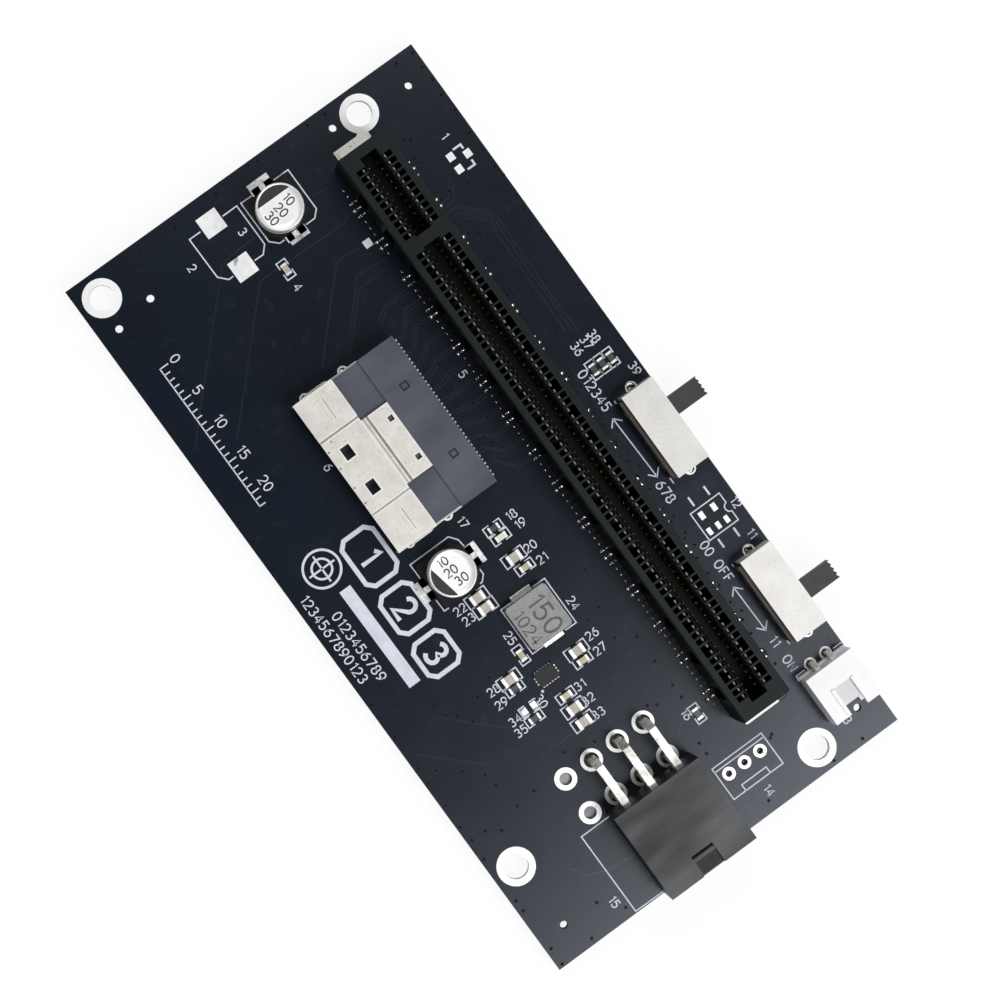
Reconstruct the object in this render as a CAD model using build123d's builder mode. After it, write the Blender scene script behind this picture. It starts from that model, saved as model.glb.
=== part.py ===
"""Cable-to-card-slot adapter board, in millimetres.

A 55.5 x 109.5 mm circuit board carries a 164-contact card slot, a 74-contact
right-angle cable port, a six-way power header, a two-way auxiliary header, two
slide switches and the parts of a small power converter.

Frame: X runs across the board towards the switches, Y along the board, Z up.
The origin is the middle of the right-hand pair of screw holes, on the board's
underside.
"""
from build123d import *
from math import cos, hypot, pi, sin
import os

os.makedirs("parts", exist_ok=True)

# Board
board_width = 55.5
board_length = 109.5
board_thickness = 1.6
right_margin = 10.85            # hole line to the board's right-hand edge
screw_hole_d = 3.4
screw_margin = 3.4              # hole centres to the nearest edges
left_low_margin = 14.4          # lower left hole to the board's lower end
tooling_hole_d = 1.1
lead_length = 1.5               # how far every soldered lead stands out below
land_thickness = 0.05           # bare plated land, proud of the board

# Card slot
slot_x = -3.2
slot_y = 2.9
slot_length = 88.9
slot_width = 7.3
slot_height = 11.1
slot_edge = 0.2                 # chamfer on the two long top edges
slot_lift = 0.3                 # room for the contact feet below the housing
card_gap = 1.8
card_floor = 2.4
card_lead_in = 0.35
card_lead_in_depth = 0.8
card_slot_start = 43.0          # housing centre to the far end of the card gap
card_slot_end = 42.8
key_width = 1.6
contact_pitch = 1.0
contacts_before_key = 11
contacts_per_row = 82
key_step = 3.0                  # contact 11 to contact 12, over the key
first_contact = 41.5            # housing centre to contact 1
pocket_inner = 1.3
pocket_outer = 2.65
pocket_width = 0.72
rail_depth = 0.9
contact_width = 0.45
contact_thickness = 0.2
contact_toe = 4.15
contact_heel = 2.25
contact_bump = (0.8, 7.9)
contact_tip = (1.66, 10.5)
left_twin_pockets = (14, 19, 23, 27, 33, 37, 41, 45, 50, 54, 58, 62, 66, 70, 74, 78)
right_twin_pockets = (16, 21, 25, 29, 35, 39, 43, 47, 52, 56, 60, 64, 68, 72, 76, 80)
wall_notch_count = 15
wall_notch_pitch = 5.6
wall_notch_width = 2.0
wall_notch_depth = 0.75
wall_notch_top = 1.0            # left whole below the top face
first_wall_notch = 38.5         # housing centre to the first notch
peg_d = 2.2
peg_clearance = 0.15
peg_sides = 8
peg_inset = 4.4                 # peg centre from the housing's ends
peg_short = 0.2                 # peg end above the board's underside
seat_rim = 0.6                  # end seats beyond the pegs
holddown_width = 5.2
holddown_foot = 1.5
holddown_thickness = 0.3
holddown_height = 2.4
holddown_slit = 0.9
holddown_land = 1.8

# Cable port
port_y = 13.8
port_mouth_x = -29.7
port_depth = 15.75
port_shell_width = 23.4
port_shell_depth = 6.05         # length of the full-height front of the shell
port_shell_height = 5.4
port_sheet = 0.25
port_raise = 0.25               # the middle of the shell stands this much higher
port_raise_width = 11.1
port_flange_depth = 4.15
port_flange_height = 4.0
port_window_x = 2.3             # window centres behind the mouth
port_window_y = 2.75
port_window = (1.35, 1.8)
port_window_pocket = 0.15       # latch pocket in the insulator, beyond the window's sides
port_rib_x = 3.2
port_rib_y = 8.75
port_rib = (0.45, 3.2)
port_tail_width = 10.1
port_tail_height = 5.45
port_tail_hole = 0.75
port_tail_hole_x = 9.4
port_tail_hole_y = 3.03
port_recess = 1.5               # insulator face behind the mouth
port_middle_height = 4.9
port_rear_height = 5.3
port_rear_width = 23.2
port_contacts = 37
port_pitch = 0.6
port_card_width = 22.4
port_card_gap = 1.0
port_card_floor = 2.1
port_card_depth = 6.0
port_tail_strip = 0.3
port_tail_length = 0.55
port_mark = 0.9
port_mark_x = 13.3
port_mark_y = 5.4
port_leg_x = (2.1, 8.2)         # shell legs behind the mouth
port_leg_width = 0.8
port_clip_x = (1.8, 5.7)
port_clip_stand = 0.3
port_clip_height = 1.2
port_clip_z = 2.6

# Power header
power_x = -20.85
power_inset = 0.15              # front face behind the board's lower edge
power_depth = 12.9
power_width = 13.5
power_height = 9.6
power_pitch = 4.2
power_columns = 3
power_footprint_columns = 4
power_rows = (14.15, 19.65)     # pin holes behind the front face
power_rows_z = (2.7, 6.9)
power_pin = 1.07
power_pin_bend = 0.7
power_pin_set_back = 2.4        # pin ends behind the front face
power_hole_d = 1.8
power_back_wall = 1.8
power_cell = 3.65
power_cell_corner = 0.9
power_latch_width = 3.4
power_latch_length = 3.05
power_latch_depth = 0.7
power_latch_step = (0.5, 0.3, 0.5)      # length, height, slit behind it
pin_clearance = 0.06

# Auxiliary header
aux_from_edge = 3.85            # middle of the shroud to the board's right-hand edge
aux_inset = 5.05                # front face behind the board's lower edge
aux_depth = 7.1
aux_width = 7.4
aux_height = 5.75
aux_wall = 0.75
aux_floor = 0.8
aux_back = 1.5
aux_notch_width = 2.65
aux_notch_length = 4.1
aux_rail = (0.5, 0.3)
aux_ledge = (0.5, 1.3)
aux_pitch = 2.5
aux_pin = 0.64
aux_pin_bend = 0.5
aux_pin_row = 7.8               # pin holes behind the front face
aux_pin_z = 3.1
aux_pin_set_back = 1.7
aux_hole_d = 1.0

# Spare three-way footprint
spare_x = -11.45
spare_inset = 7.55
spare_pitch = 2.54
spare_count = 3
spare_hole_d = 1.0

# Slide switches
switch_inset = 0.45             # frame's front behind the board's right-hand edge
switch_depth = 4.9
switch_length = 12.8
switch_height = 5.0
switch_lift = 0.1
switch_sheet = 0.35
switch_from_low = (49.7, 23.25)  # centres above the board's lower end
switch_travel = 3.2
knob_width = 2.7
knob_height = 2.2
knob_z = 2.9
knob_reach = 4.8                # beyond the frame's front
knob_teeth = 4
knob_tooth_depth = 0.25
carriage = (2.0, 6.0, 2.9)
slide_clearance = 0.3
switch_base_thickness = 0.9
switch_base_stand = 0.55        # base beyond the frame's back edge
switch_base_height = 4.1
terminal_pitch = 4.0
terminal_width = 0.8
terminal_thickness = 0.35
terminal_z = 1.5
terminal_stand = 0.25           # upright part inside the base's inner face
terminal_hole_d = 1.1
switch_leg_width = 0.6
switch_leg_hole_d = 1.3
switch_leg_hole_y = 6.6
clip_sheet = 0.15

# Electrolytic capacitors
upper_can_x = -15.9
upper_can_from_far = 7.55       # centre to the board's far end
lower_can = (-25.6, -4.1)
can_d = 6.3
can_height = 5.4
can_shoulder = 0.4
can_groove_z = 1.9
can_groove = 0.3
can_base = 6.6
can_base_height = 1.0
can_base_corner = 1.3
can_lead_width = 0.8
can_lead_reach = 4.15
can_lead_thickness = 0.15
can_land = (3.0, 2.6)
can_land_reach = 4.2

# Bare capacitor footprint
bare_land = 3.0
bare_x = -24.05
bare_from_far = (3.8, 10.8)
spare_lands = (                 # the four-lead footprint: x, height above switch 2, width, length
    (7.57, 13.9, 0.7, 1.1), (5.6, 13.9, 0.7, 1.1), (8.02, 11.6, 0.6, 1.0), (6.64, 11.6, 0.6, 1.0),
    (5.24, 11.6, 0.6, 1.0),
)
small_lands = (
    (-9.05, 37.0, 1.1, 1.1), (6.4, 39.8, 1.0, 1.1), (6.4, 37.85, 1.0, 1.1),
    (8.5, 38.9, 1.0, 1.1), (-28.45, -24.6, 0.8, 0.9), (-26.95, -24.6, 0.8, 0.9),
)

# Inductor
inductor_x = -19.75
inductor_y = -15.4
inductor_size = (6.4, 6.6, 3.0)
inductor_corner = 0.35
inductor_terminal_width = 3.1
inductor_terminal_reach = 0.75
inductor_terminal_tuck = 1.2    # under the block
inductor_terminal_thickness = 0.25

# Converter chip
chip_x = -23.3
chip_y = -22.4
chip_size = (3.0, 2.1, 0.85)
chip_lead = (0.25, 0.3, 0.1)

# Small two-ended parts: centre and whether they lie along Y
small_case = (1.6, 0.8, 0.8, 0.3)       # length, width, height, end cap
large_case = (2.0, 1.25, 1.1, 0.45)
resistor_case = (1.6, 0.8, 0.45, 0.3)
lamp_case = (1.6, 0.8, 0.6, 0.3)
small_capacitors = (
    (-19.7, 40.45, 1), (-17.25, -9.3, 0), (-24.45, -18.35, 1), (-18.3, -23.65, 0),
    (-22.8, -26.1, 0),
)
large_capacitors = (
    (-17.7, -7.4, 0), (-24.7, -8.85, 0), (-24.6, -10.55, 0), (-18.2, -22.15, 0),
    (-27.6, -20.0, 0), (-22.9, -28.05, 0), (-22.95, -30.2, 0),
)
resistors = (
    (-17.6, -2.75, 0), (-27.7, -21.4, 0), (-27.9, -26.1, 0), (-10.2, -38.3, 1),
)
switch_resistors_x = (8.05, 6.65, 5.3)
switch_resistors_y = 11.35      # above the centre of switch 1
lamp = ((-17.5, -4.25, 0),)
tooling_holes = (                # from the nearest corner: edges inwards
    ("right", "far", 3.42, 4.15), ("right", "far", 14.75, 2.9), ("left", "far", 8.45, 7.05),
    ("left", "far", 2.85, 7.9), ("left", "low", 3.95, 4.45), ("right", "low", 3.4, 4.45),
)

# Worked out from the values above
top = board_thickness
board_x = right_margin - board_width / 2
edge_x = {"right": right_margin, "left": right_margin - board_width}
edge_y = {"far": board_length / 2, "low": -board_length / 2}
right_holes = [(0, edge_y["far"] - screw_margin), (0, edge_y["low"] + screw_margin)]
left_holes = [(edge_x["left"] + screw_margin, edge_y["far"] - screw_margin),
              (edge_x["left"] + screw_margin, edge_y["low"] + left_low_margin)]
tooling_places = [(edge_x[side] + (across if side == "left" else -across),
                   edge_y[end] + (along if end == "low" else -along))
                  for side, end, across, along in tooling_holes]
power_front_y = edge_y["low"] + power_inset
power_rows_y = [power_front_y + back for back in power_rows]
power_pin_end_y = power_front_y + power_pin_set_back
power_pin_x = [power_x + (i - (power_columns - 1) / 2) * power_pitch for i in range(power_columns)]
power_hole_x = [power_pin_x[-1] - i * power_pitch for i in range(power_footprint_columns)]
power_back_y = power_front_y + power_depth
aux_x = edge_x["right"] - aux_from_edge
aux_front_y = edge_y["low"] + aux_inset
aux_pin_y = aux_front_y + aux_pin_row
aux_pin_end_y = aux_front_y + aux_pin_set_back
aux_pin_x = [aux_x - aux_pitch / 2, aux_x + aux_pitch / 2]
aux_back_y = aux_front_y + aux_depth
spare_y = edge_y["low"] + spare_inset
switch_centres_y = [edge_y["low"] + above for above in switch_from_low]
switch_resistors = [(x, switch_centres_y[0] + switch_resistors_y, 1) for x in switch_resistors_x]
small_places = [*small_lands, *[(x, switch_centres_y[1] + above, width, length)
                                for x, above, width, length in spare_lands]]
can_places = (("upper", upper_can_x, edge_y["far"] - upper_can_from_far, 0), ("lower", *lower_can, 90))
bare_places = [(bare_x, edge_y["far"] - below) for below in bare_from_far]
switch_front = edge_x["right"] - switch_inset
switch_x = switch_front - switch_depth      # back edge of the metal frame
knob_offset = switch_travel / 2
terminal_x = switch_x - switch_base_stand + switch_base_thickness + terminal_stand
peg_places = [(slot_x, slot_y + side * (slot_length / 2 - peg_inset)) for side in (1, -1)]
port_side_y = port_shell_width / 2
port_rear_x = port_mouth_x + port_depth


def contact_y(number):
    """Distance of a slot contact from the housing's centre, along Y."""
    step = (number - 1) * contact_pitch
    if number > contacts_before_key:
        step += key_step - contact_pitch
    return first_contact - step


def strip(points, thickness):
    """Outline of a bent strip, half its thickness each side of the given points."""
    left, right = [], []
    for i, (x, y) in enumerate(points):
        before = points[max(i - 1, 0)]
        after = points[min(i + 1, len(points) - 1)]
        normals = []
        for (ax, ay), (bx, by) in ((before, (x, y)), ((x, y), after)):
            length = hypot(bx - ax, by - ay)
            if length:
                normals.append((-(by - ay) / length, (bx - ax) / length))
        nx = sum(n[0] for n in normals) / len(normals)
        ny = sum(n[1] for n in normals) / len(normals)
        scale = thickness / 2 / (nx * nx + ny * ny)
        left.append((x + nx * scale, y + ny * scale))
        right.append((x - nx * scale, y - ny * scale))
    return left + right[::-1]


def save(part, name):
    part.label = name
    export_step(part, f"parts/{name}.step")


# Circuit board: one laminate with every drilled hole
with BuildPart() as circuit_board:
    with BuildSketch(Plane.XY):
        with Locations((board_x, 0)):
            Rectangle(board_width, board_length)
        with Locations(*right_holes, *left_holes):
            Circle(screw_hole_d / 2, mode=Mode.SUBTRACT)
        with Locations(*tooling_places):
            RegularPolygon(tooling_hole_d / 2, 8, mode=Mode.SUBTRACT)
        with Locations(*[(x, y) for x in power_hole_x for y in power_rows_y]):
            RegularPolygon(power_hole_d / 2, 8, mode=Mode.SUBTRACT)
        with Locations(*[(x, aux_pin_y) for x in aux_pin_x]):
            RegularPolygon(aux_hole_d / 2, 8, mode=Mode.SUBTRACT)
        with Locations(*[(spare_x + i * spare_pitch, spare_y) for i in range(spare_count)]):
            RegularPolygon(spare_hole_d / 2, 8, mode=Mode.SUBTRACT)
        with Locations(*peg_places):
            RegularPolygon(peg_d / 2 + peg_clearance, peg_sides, mode=Mode.SUBTRACT)
        with Locations(*[(switch_x + switch_depth / 2, y + side * switch_leg_hole_y)
                         for y in switch_centres_y for side in (1, -1)]):
            RegularPolygon(switch_leg_hole_d / 2, 8, mode=Mode.SUBTRACT)
        with Locations(*[(terminal_x, y + i * terminal_pitch)
                         for y in switch_centres_y for i in (-1, 0, 1)]):
            RegularPolygon(terminal_hole_d / 2, 8, mode=Mode.SUBTRACT)
        with Locations(*[(port_mouth_x + x, port_y + side * (port_side_y - port_sheet / 2))
                         for x in port_leg_x for side in (1, -1)]):
            RegularPolygon(port_leg_width / 2 + 0.1, 8, mode=Mode.SUBTRACT)
    extrude(amount=board_thickness)
save(circuit_board.part, "circuit_board")


# Card slot housing: a moulded bar with a keyed card gap and a pocket for each contact
def pocket_tool(width):
    """Space for one contact: open at the top and, under a rail, into the card gap."""
    with BuildPart() as tool:
        with BuildSketch(Plane.XZ.offset(-width / 2)):
            with BuildLine():
                Polyline(
                    (pocket_inner, top + slot_height), (pocket_outer, top + slot_height),
                    (pocket_outer, top + card_floor), (card_gap / 2 - 0.1, top + card_floor),
                    (card_gap / 2 - 0.1, top + slot_height - rail_depth),
                    (pocket_inner, top + slot_height - rail_depth), close=True)
            make_face()
        extrude(amount=width)
    return tool.part


def pocket_places(twins):
    """Centres of the single pockets and of the double ones, along Y."""
    second = [n + 1 for n in twins]
    single = [contact_y(n) for n in range(1, contacts_per_row + 1) if n not in twins and n not in second]
    double = [contact_y(n) - contact_pitch / 2 for n in twins]
    return single, double


half_width = slot_width / 2
slot_top = top + slot_height
key_centre = (contact_y(contacts_before_key) + contact_y(contacts_before_key + 1)) / 2
card_gaps = ((key_centre + key_width / 2, card_slot_start), (-card_slot_end, key_centre - key_width / 2))
single_tool = pocket_tool(pocket_width)
double_tool = pocket_tool(pocket_width + contact_pitch)

with BuildPart() as slot_housing:
    with BuildSketch(Plane.XZ.offset(-slot_y - slot_length / 2)):
        with BuildLine():
            Polyline(
                (slot_x - half_width, top + slot_lift), (slot_x - half_width, slot_top - slot_edge),
                (slot_x - half_width + slot_edge, slot_top), (slot_x + half_width - slot_edge, slot_top),
                (slot_x + half_width, slot_top - slot_edge), (slot_x + half_width, top + slot_lift),
                close=True)
        make_face()
    extrude(amount=slot_length)
    # The card gap, with a sloping lead-in, in two lengths either side of the key
    for low, high in card_gaps:
        with BuildSketch(Plane.XZ.offset(-slot_y - high)):
            with BuildLine():
                gap, mouth = card_gap / 2, card_gap / 2 + card_lead_in
                Polyline(
                    (slot_x - gap, top + card_floor), (slot_x - gap, slot_top - card_lead_in_depth),
                    (slot_x - mouth, slot_top), (slot_x + mouth, slot_top),
                    (slot_x + gap, slot_top - card_lead_in_depth), (slot_x + gap, top + card_floor),
                    close=True)
            make_face()
        extrude(amount=high - low, mode=Mode.SUBTRACT)
    for side, twins in ((-1, left_twin_pockets), (1, right_twin_pockets)):
        single, double = pocket_places(twins)
        turn = 0 if side > 0 else 180
        with Locations(*[Location((slot_x, slot_y + y, 0), (0, 0, turn)) for y in single]):
            add(single_tool, mode=Mode.SUBTRACT)
        with Locations(*[Location((slot_x, slot_y + y, 0), (0, 0, turn)) for y in double]):
            add(double_tool, mode=Mode.SUBTRACT)
    # Notches in both long walls that leave the solder joints in view
    notch_z = slot_height - slot_lift - wall_notch_top
    with Locations(*[(slot_x + side * (half_width - wall_notch_depth / 2),
                      slot_y + first_wall_notch - i * wall_notch_pitch,
                      top + slot_lift + notch_z / 2)
                     for i in range(wall_notch_count) for side in (-1, 1)]):
        Box(wall_notch_depth, wall_notch_width, notch_z, mode=Mode.SUBTRACT)
    # Seats at both ends, with the locating pegs
    with BuildSketch(Plane.XY.offset(top)):
        with Locations(*peg_places):
            RegularPolygon(peg_d / 2 + seat_rim, peg_sides)
    extrude(amount=slot_lift)
    with BuildSketch(Plane.XY.offset(peg_short)):
        with Locations(*peg_places):
            RegularPolygon(peg_d / 2, peg_sides)
    extrude(amount=top - peg_short)
save(slot_housing.part, "slot_housing")

# Slot contacts: a bent spring strip each, toe on the board and tip behind the rail
with BuildPart() as one_contact:
    with BuildSketch(Plane.XZ.offset(-contact_width / 2)):
        with BuildLine():
            foot_z = contact_thickness / 2
            Polyline(*[(x, top + z) for x, z in strip(
                [(contact_toe, foot_z), (contact_heel, foot_z), contact_bump, contact_tip],
                contact_thickness)], close=True)
        make_face()
    extrude(amount=contact_width)

for name, turn in (("slot_contacts_left", 180), ("slot_contacts_right", 0)):
    with BuildPart() as slot_contacts:
        with Locations(*[Location((slot_x, slot_y + contact_y(n), 0), (0, 0, turn))
                         for n in range(1, contacts_per_row + 1)]):
            add(one_contact.part)
    save(slot_contacts.part, name)

# Slot hold-downs: a bent tab at each end, its foot soldered to the board
with BuildPart() as slot_hold_downs:
    for side in (1, -1):
        wall_y = slot_y + side * slot_length / 2
        with BuildSketch(Plane.YZ.offset(slot_x - holddown_width / 2 + 0.4)):
            with BuildLine():
                middle = holddown_thickness / 2
                Polyline(*strip([
                    (wall_y + side * middle, top + holddown_height),
                    (wall_y + side * middle, top + land_thickness + middle),
                    (wall_y + side * holddown_foot, top + land_thickness + middle)],
                    holddown_thickness), close=True)
            make_face()
        extrude(amount=holddown_width - 0.8)
        with Locations((slot_x, wall_y + side * holddown_foot, top + holddown_thickness)):
            Box(holddown_slit, holddown_slit, 4 * holddown_thickness, mode=Mode.SUBTRACT)
save(slot_hold_downs.part, "slot_hold_downs")

# Cable port shell: a stamped sheet over the front of the port, with a rear tongue
shell_top = top + port_shell_height
shell_rear_x = port_mouth_x + port_shell_depth
flange_end_x = shell_rear_x + port_flange_depth

with BuildPart() as port_shell:
    with BuildSketch(Plane.YZ.offset(port_mouth_x)):
        with BuildLine():
            side_y, raise_y = port_side_y, port_raise_width / 2
            outer = [(-side_y, top), (-side_y, shell_top), (-raise_y - port_raise, shell_top),
                     (-raise_y, shell_top + port_raise)]
            outer += [(-y, z) for y, z in outer[::-1]]
            inset = port_sheet
            inner = [(-side_y + inset, top), (-side_y + inset, shell_top - inset),
                     (-raise_y - port_raise + inset / 2, shell_top - inset),
                     (-raise_y + inset / 2, shell_top + port_raise - inset)]
            inner += [(-y, z) for y, z in inner[::-1]]
            Polyline(*[(port_y + y, z) for y, z in outer + inner[::-1]], close=True)
        make_face()
    extrude(amount=port_shell_depth)
    # Side walls run on behind as low flanges
    with Locations(*[(shell_rear_x + port_flange_depth / 2, port_y + side * (port_side_y - port_sheet / 2),
                      top + port_flange_height / 2) for side in (1, -1)]):
        Box(port_flange_depth, port_sheet, port_flange_height)
    # Rear tongue, joined through a groove
    tail_z = top + port_tail_height
    with BuildSketch(Plane.XZ.offset(-port_y - port_tail_width / 2)):
        with BuildLine():
            Polyline(*strip([
                (shell_rear_x - 0.3, shell_top + port_raise - port_sheet / 2),
                (shell_rear_x + 0.15, shell_top + port_raise - port_sheet / 2),
                (shell_rear_x + 0.35, top + port_middle_height + port_sheet / 2),
                (shell_rear_x + 0.8, top + port_middle_height + port_sheet / 2),
                (shell_rear_x + 1.1, tail_z - port_sheet / 2),
                (flange_end_x, tail_z - port_sheet / 2)], port_sheet), close=True)
        make_face()
    extrude(amount=port_tail_width)
    with Locations(*[(port_mouth_x + port_tail_hole_x, port_y + side * port_tail_hole_y, tail_z)
                     for side in (1, -1)]):
        Box(port_tail_hole, port_tail_hole, 4 * port_sheet, mode=Mode.SUBTRACT)
    with Locations(*[(port_mouth_x + port_window_x, port_y + side * port_window_y, shell_top)
                     for side in (1, -1)]):
        Box(port_window[0], port_window[1], 4 * port_sheet, mode=Mode.SUBTRACT)
    # Stiffening ribs on the two end zones
    with BuildSketch(Plane.XY.offset(shell_top)):
        with Locations(*[(port_mouth_x + port_rib_x, port_y + side * port_rib_y) for side in (1, -1)]):
            Rectangle(port_rib[0], port_rib[1])
    extrude(amount=0.12)
    # Spring straps on both sides
    for side in (1, -1):
        wall = port_y + side * (port_side_y - port_sheet / 2)
        stand = port_y + side * (port_side_y + port_clip_stand - port_sheet / 2)
        start, end = (port_mouth_x + x for x in port_clip_x)
        with BuildSketch(Plane.XY.offset(top + port_clip_z - port_clip_height / 2)):
            with BuildLine():
                Polyline(*strip([(start, wall), (start + 0.5, stand), (end - 0.5, stand), (end, wall)],
                                port_sheet * 0.8), close=True)
            make_face()
        extrude(amount=port_clip_height)
    # Legs through the board
    with Locations(*[(port_mouth_x + x, port_y + side * (port_side_y - port_sheet / 2),
                      (top - lead_length) / 2) for x in port_leg_x for side in (1, -1)]):
        Box(port_leg_width, port_sheet, top + lead_length)
save(port_shell.part, "port_shell")

# Cable port insulator: three moulded steps, a card gap at the front
seat = 0.05
with BuildPart() as port_insulator:
    front_x = port_mouth_x + port_recess
    with BuildSketch(Plane.XZ.offset(-port_y - port_side_y + port_sheet + seat)):
        with BuildLine():
            Polyline(
                (front_x, top), (front_x, shell_top - port_sheet - seat),
                (shell_rear_x + 0.1, shell_top - port_sheet - seat),
                (shell_rear_x + 0.1, top + port_middle_height - seat),
                (flange_end_x, top + port_middle_height - seat),
                (flange_end_x, top + port_rear_height), (port_rear_x, top + port_rear_height),
                (port_rear_x, top), close=True)
        make_face()
    extrude(amount=2 * (port_side_y - port_sheet - seat))
    with Locations(((flange_end_x + seat + port_rear_x) / 2, port_y, top + port_rear_height / 2)):
        Box(port_rear_x - flange_end_x - seat, port_rear_width, port_rear_height)
    with Locations((front_x + port_card_depth / 2, port_y, top + port_card_floor + port_card_gap / 2)):
        Box(port_card_depth, port_card_width, port_card_gap, mode=Mode.SUBTRACT)
    # Latch pockets under the shell's windows, down into the card gap
    pocket_top = shell_top - port_sheet
    pocket_floor = top + port_card_floor + port_card_gap / 2
    with Locations(*[(port_mouth_x + port_window_x, port_y + side * port_window_y,
                      (pocket_top + pocket_floor) / 2) for side in (1, -1)]):
        Box(port_window[0] + 2 * port_window_pocket, port_window[1] + 2 * port_window_pocket,
            pocket_top - pocket_floor, mode=Mode.SUBTRACT)
    # Two square moulding marks
    with Locations(*[(port_mouth_x + port_mark_x, port_y + side * port_mark_y, top + port_rear_height)
                     for side in (1, -1)]):
        Box(port_mark, port_mark, 0.3, mode=Mode.SUBTRACT)
    with Locations(*[(port_mouth_x + port_mark_x, port_y + side * port_mark_y, top + port_rear_height - 0.1)
                     for side in (1, -1)]):
        Box(port_mark / 2, port_mark / 2, 0.1)
save(port_insulator.part, "port_insulator")

# Port contacts: a row of soldered tails behind the port
port_rows_y = [port_y + (i - (port_contacts - 1) / 2) * port_pitch for i in range(port_contacts)]
with BuildPart() as port_tails:
    with Locations(*[(port_rear_x + port_tail_length / 2, y, top + 0.1) for y in port_rows_y]):
        Box(port_tail_length, port_tail_strip, 0.2)
save(port_tails.part, "port_solder_tails")

# Power header housing: six keyed cells behind a latch notch
with BuildPart() as power_housing:
    with Locations((power_x, power_front_y + power_depth / 2, top + power_height / 2)):
        Box(power_width, power_depth, power_height)
    cell_depth = power_depth - power_back_wall
    with BuildSketch(Plane.XZ.offset(-power_front_y)):
        for column, x in enumerate(power_pin_x):
            for row, z in enumerate(power_rows_z):
                with Locations((x, top + z)):
                    Rectangle(power_cell, power_cell)
    cells = extrude(amount=-cell_depth, mode=Mode.SUBTRACT)
    # Every second cell has its lower corners filled, as the key
    for column, x in enumerate(power_pin_x):
        for row, z in enumerate(power_rows_z):
            if (column + row) % 2 == 0:
                for side in (1, -1):
                    corner_x = x + side * power_cell / 2
                    corner_z = top + z - power_cell / 2
                    with BuildSketch(Plane.XZ.offset(-power_front_y)):
                        with BuildLine():
                            Polyline((corner_x, corner_z), (corner_x - side * power_cell_corner, corner_z),
                                     (corner_x, corner_z + power_cell_corner), close=True)
                        make_face()
                    extrude(amount=-cell_depth)
    with BuildSketch(Plane.XZ.offset(-power_back_y)):
        with Locations(*[(x, top + z) for x in power_pin_x for z in power_rows_z]):
            Rectangle(power_pin + 2 * pin_clearance, power_pin + 2 * pin_clearance)
    extrude(amount=power_back_wall, mode=Mode.SUBTRACT)
    # Latch notch with a raised step at its rear
    with Locations((power_x, power_front_y + power_latch_length / 2,
                    top + power_height - power_latch_depth / 2)):
        Box(power_latch_width, power_latch_length, power_latch_depth, mode=Mode.SUBTRACT)
    step_length, step_height, slit = power_latch_step
    with Locations((power_x, power_front_y + power_latch_length - slit - step_length / 2,
                    top + power_height - power_latch_depth + step_height / 2)):
        Box(power_latch_width, step_length, step_height)
save(power_housing.part, "power_header_housing")

# Power header pins: square wire, up from the board and forward into the cells
for name, y, z in (("power_pins_lower", power_rows_y[0], power_rows_z[0]),
                   ("power_pins_upper", power_rows_y[1], power_rows_z[1])):
    with BuildPart() as power_pins:
        for x in power_pin_x:
            with BuildSketch(Plane.YZ.offset(x - power_pin / 2)):
                with BuildLine():
                    Polyline(*strip([(y, -lead_length), (y, top + z - power_pin_bend),
                                     (y - power_pin_bend, top + z), (power_pin_end_y, top + z)],
                                    power_pin), close=True)
                make_face()
            extrude(amount=power_pin)
    save(power_pins.part, name)

# Auxiliary header housing: an open-fronted shroud with a notched top
with BuildPart() as aux_housing:
    with Locations((aux_x, aux_front_y + aux_depth / 2, top + aux_height / 2)):
        Box(aux_width, aux_depth, aux_height)
    with Locations((aux_x, aux_front_y + (aux_depth - aux_back) / 2,
                    top + aux_floor + (aux_height - aux_wall - aux_floor) / 2)):
        Box(aux_width - 2 * aux_wall, aux_depth - aux_back, aux_height - aux_wall - aux_floor,
            mode=Mode.SUBTRACT)
    with Locations((aux_x, aux_front_y + aux_notch_length / 2, top + aux_height - aux_wall / 2)):
        Box(aux_notch_width, aux_notch_length, 2 * aux_wall, mode=Mode.SUBTRACT)
    with Locations((aux_x, aux_front_y + 0.35, top + aux_floor / 2)):
        Box(aux_notch_width, 0.7, aux_floor, mode=Mode.SUBTRACT)
    with Locations(*[(aux_x + side * (aux_notch_width + aux_rail[0]) / 2,
                      aux_front_y + aux_notch_length / 2 + 0.2, top + aux_height + aux_rail[1] / 2)
                     for side in (1, -1)]):
        Box(aux_rail[0], aux_notch_length - 0.4, aux_rail[1])
    with Locations((aux_x, aux_back_y + aux_ledge[0] / 2 - 0.25, top + aux_ledge[1] / 2)):
        Box(aux_width, aux_ledge[0], aux_ledge[1])
    with BuildSketch(Plane.XZ.offset(-aux_back_y - 1)):
        with Locations(*[(x, top + aux_pin_z) for x in aux_pin_x]):
            Rectangle(aux_pin + 2 * pin_clearance, aux_pin + 2 * pin_clearance)
    extrude(amount=aux_back + 1, mode=Mode.SUBTRACT)
save(aux_housing.part, "aux_header_housing")

with BuildPart() as aux_pins:
    for x in aux_pin_x:
        with BuildSketch(Plane.YZ.offset(x - aux_pin / 2)):
            with BuildLine():
                Polyline(*strip([(aux_pin_y, -lead_length), (aux_pin_y, top + aux_pin_z - aux_pin_bend),
                                 (aux_pin_y - aux_pin_bend, top + aux_pin_z),
                                 (aux_pin_end_y, top + aux_pin_z)], aux_pin), close=True)
            make_face()
        extrude(amount=aux_pin)
save(aux_pins.part, "aux_header_pins")


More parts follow.
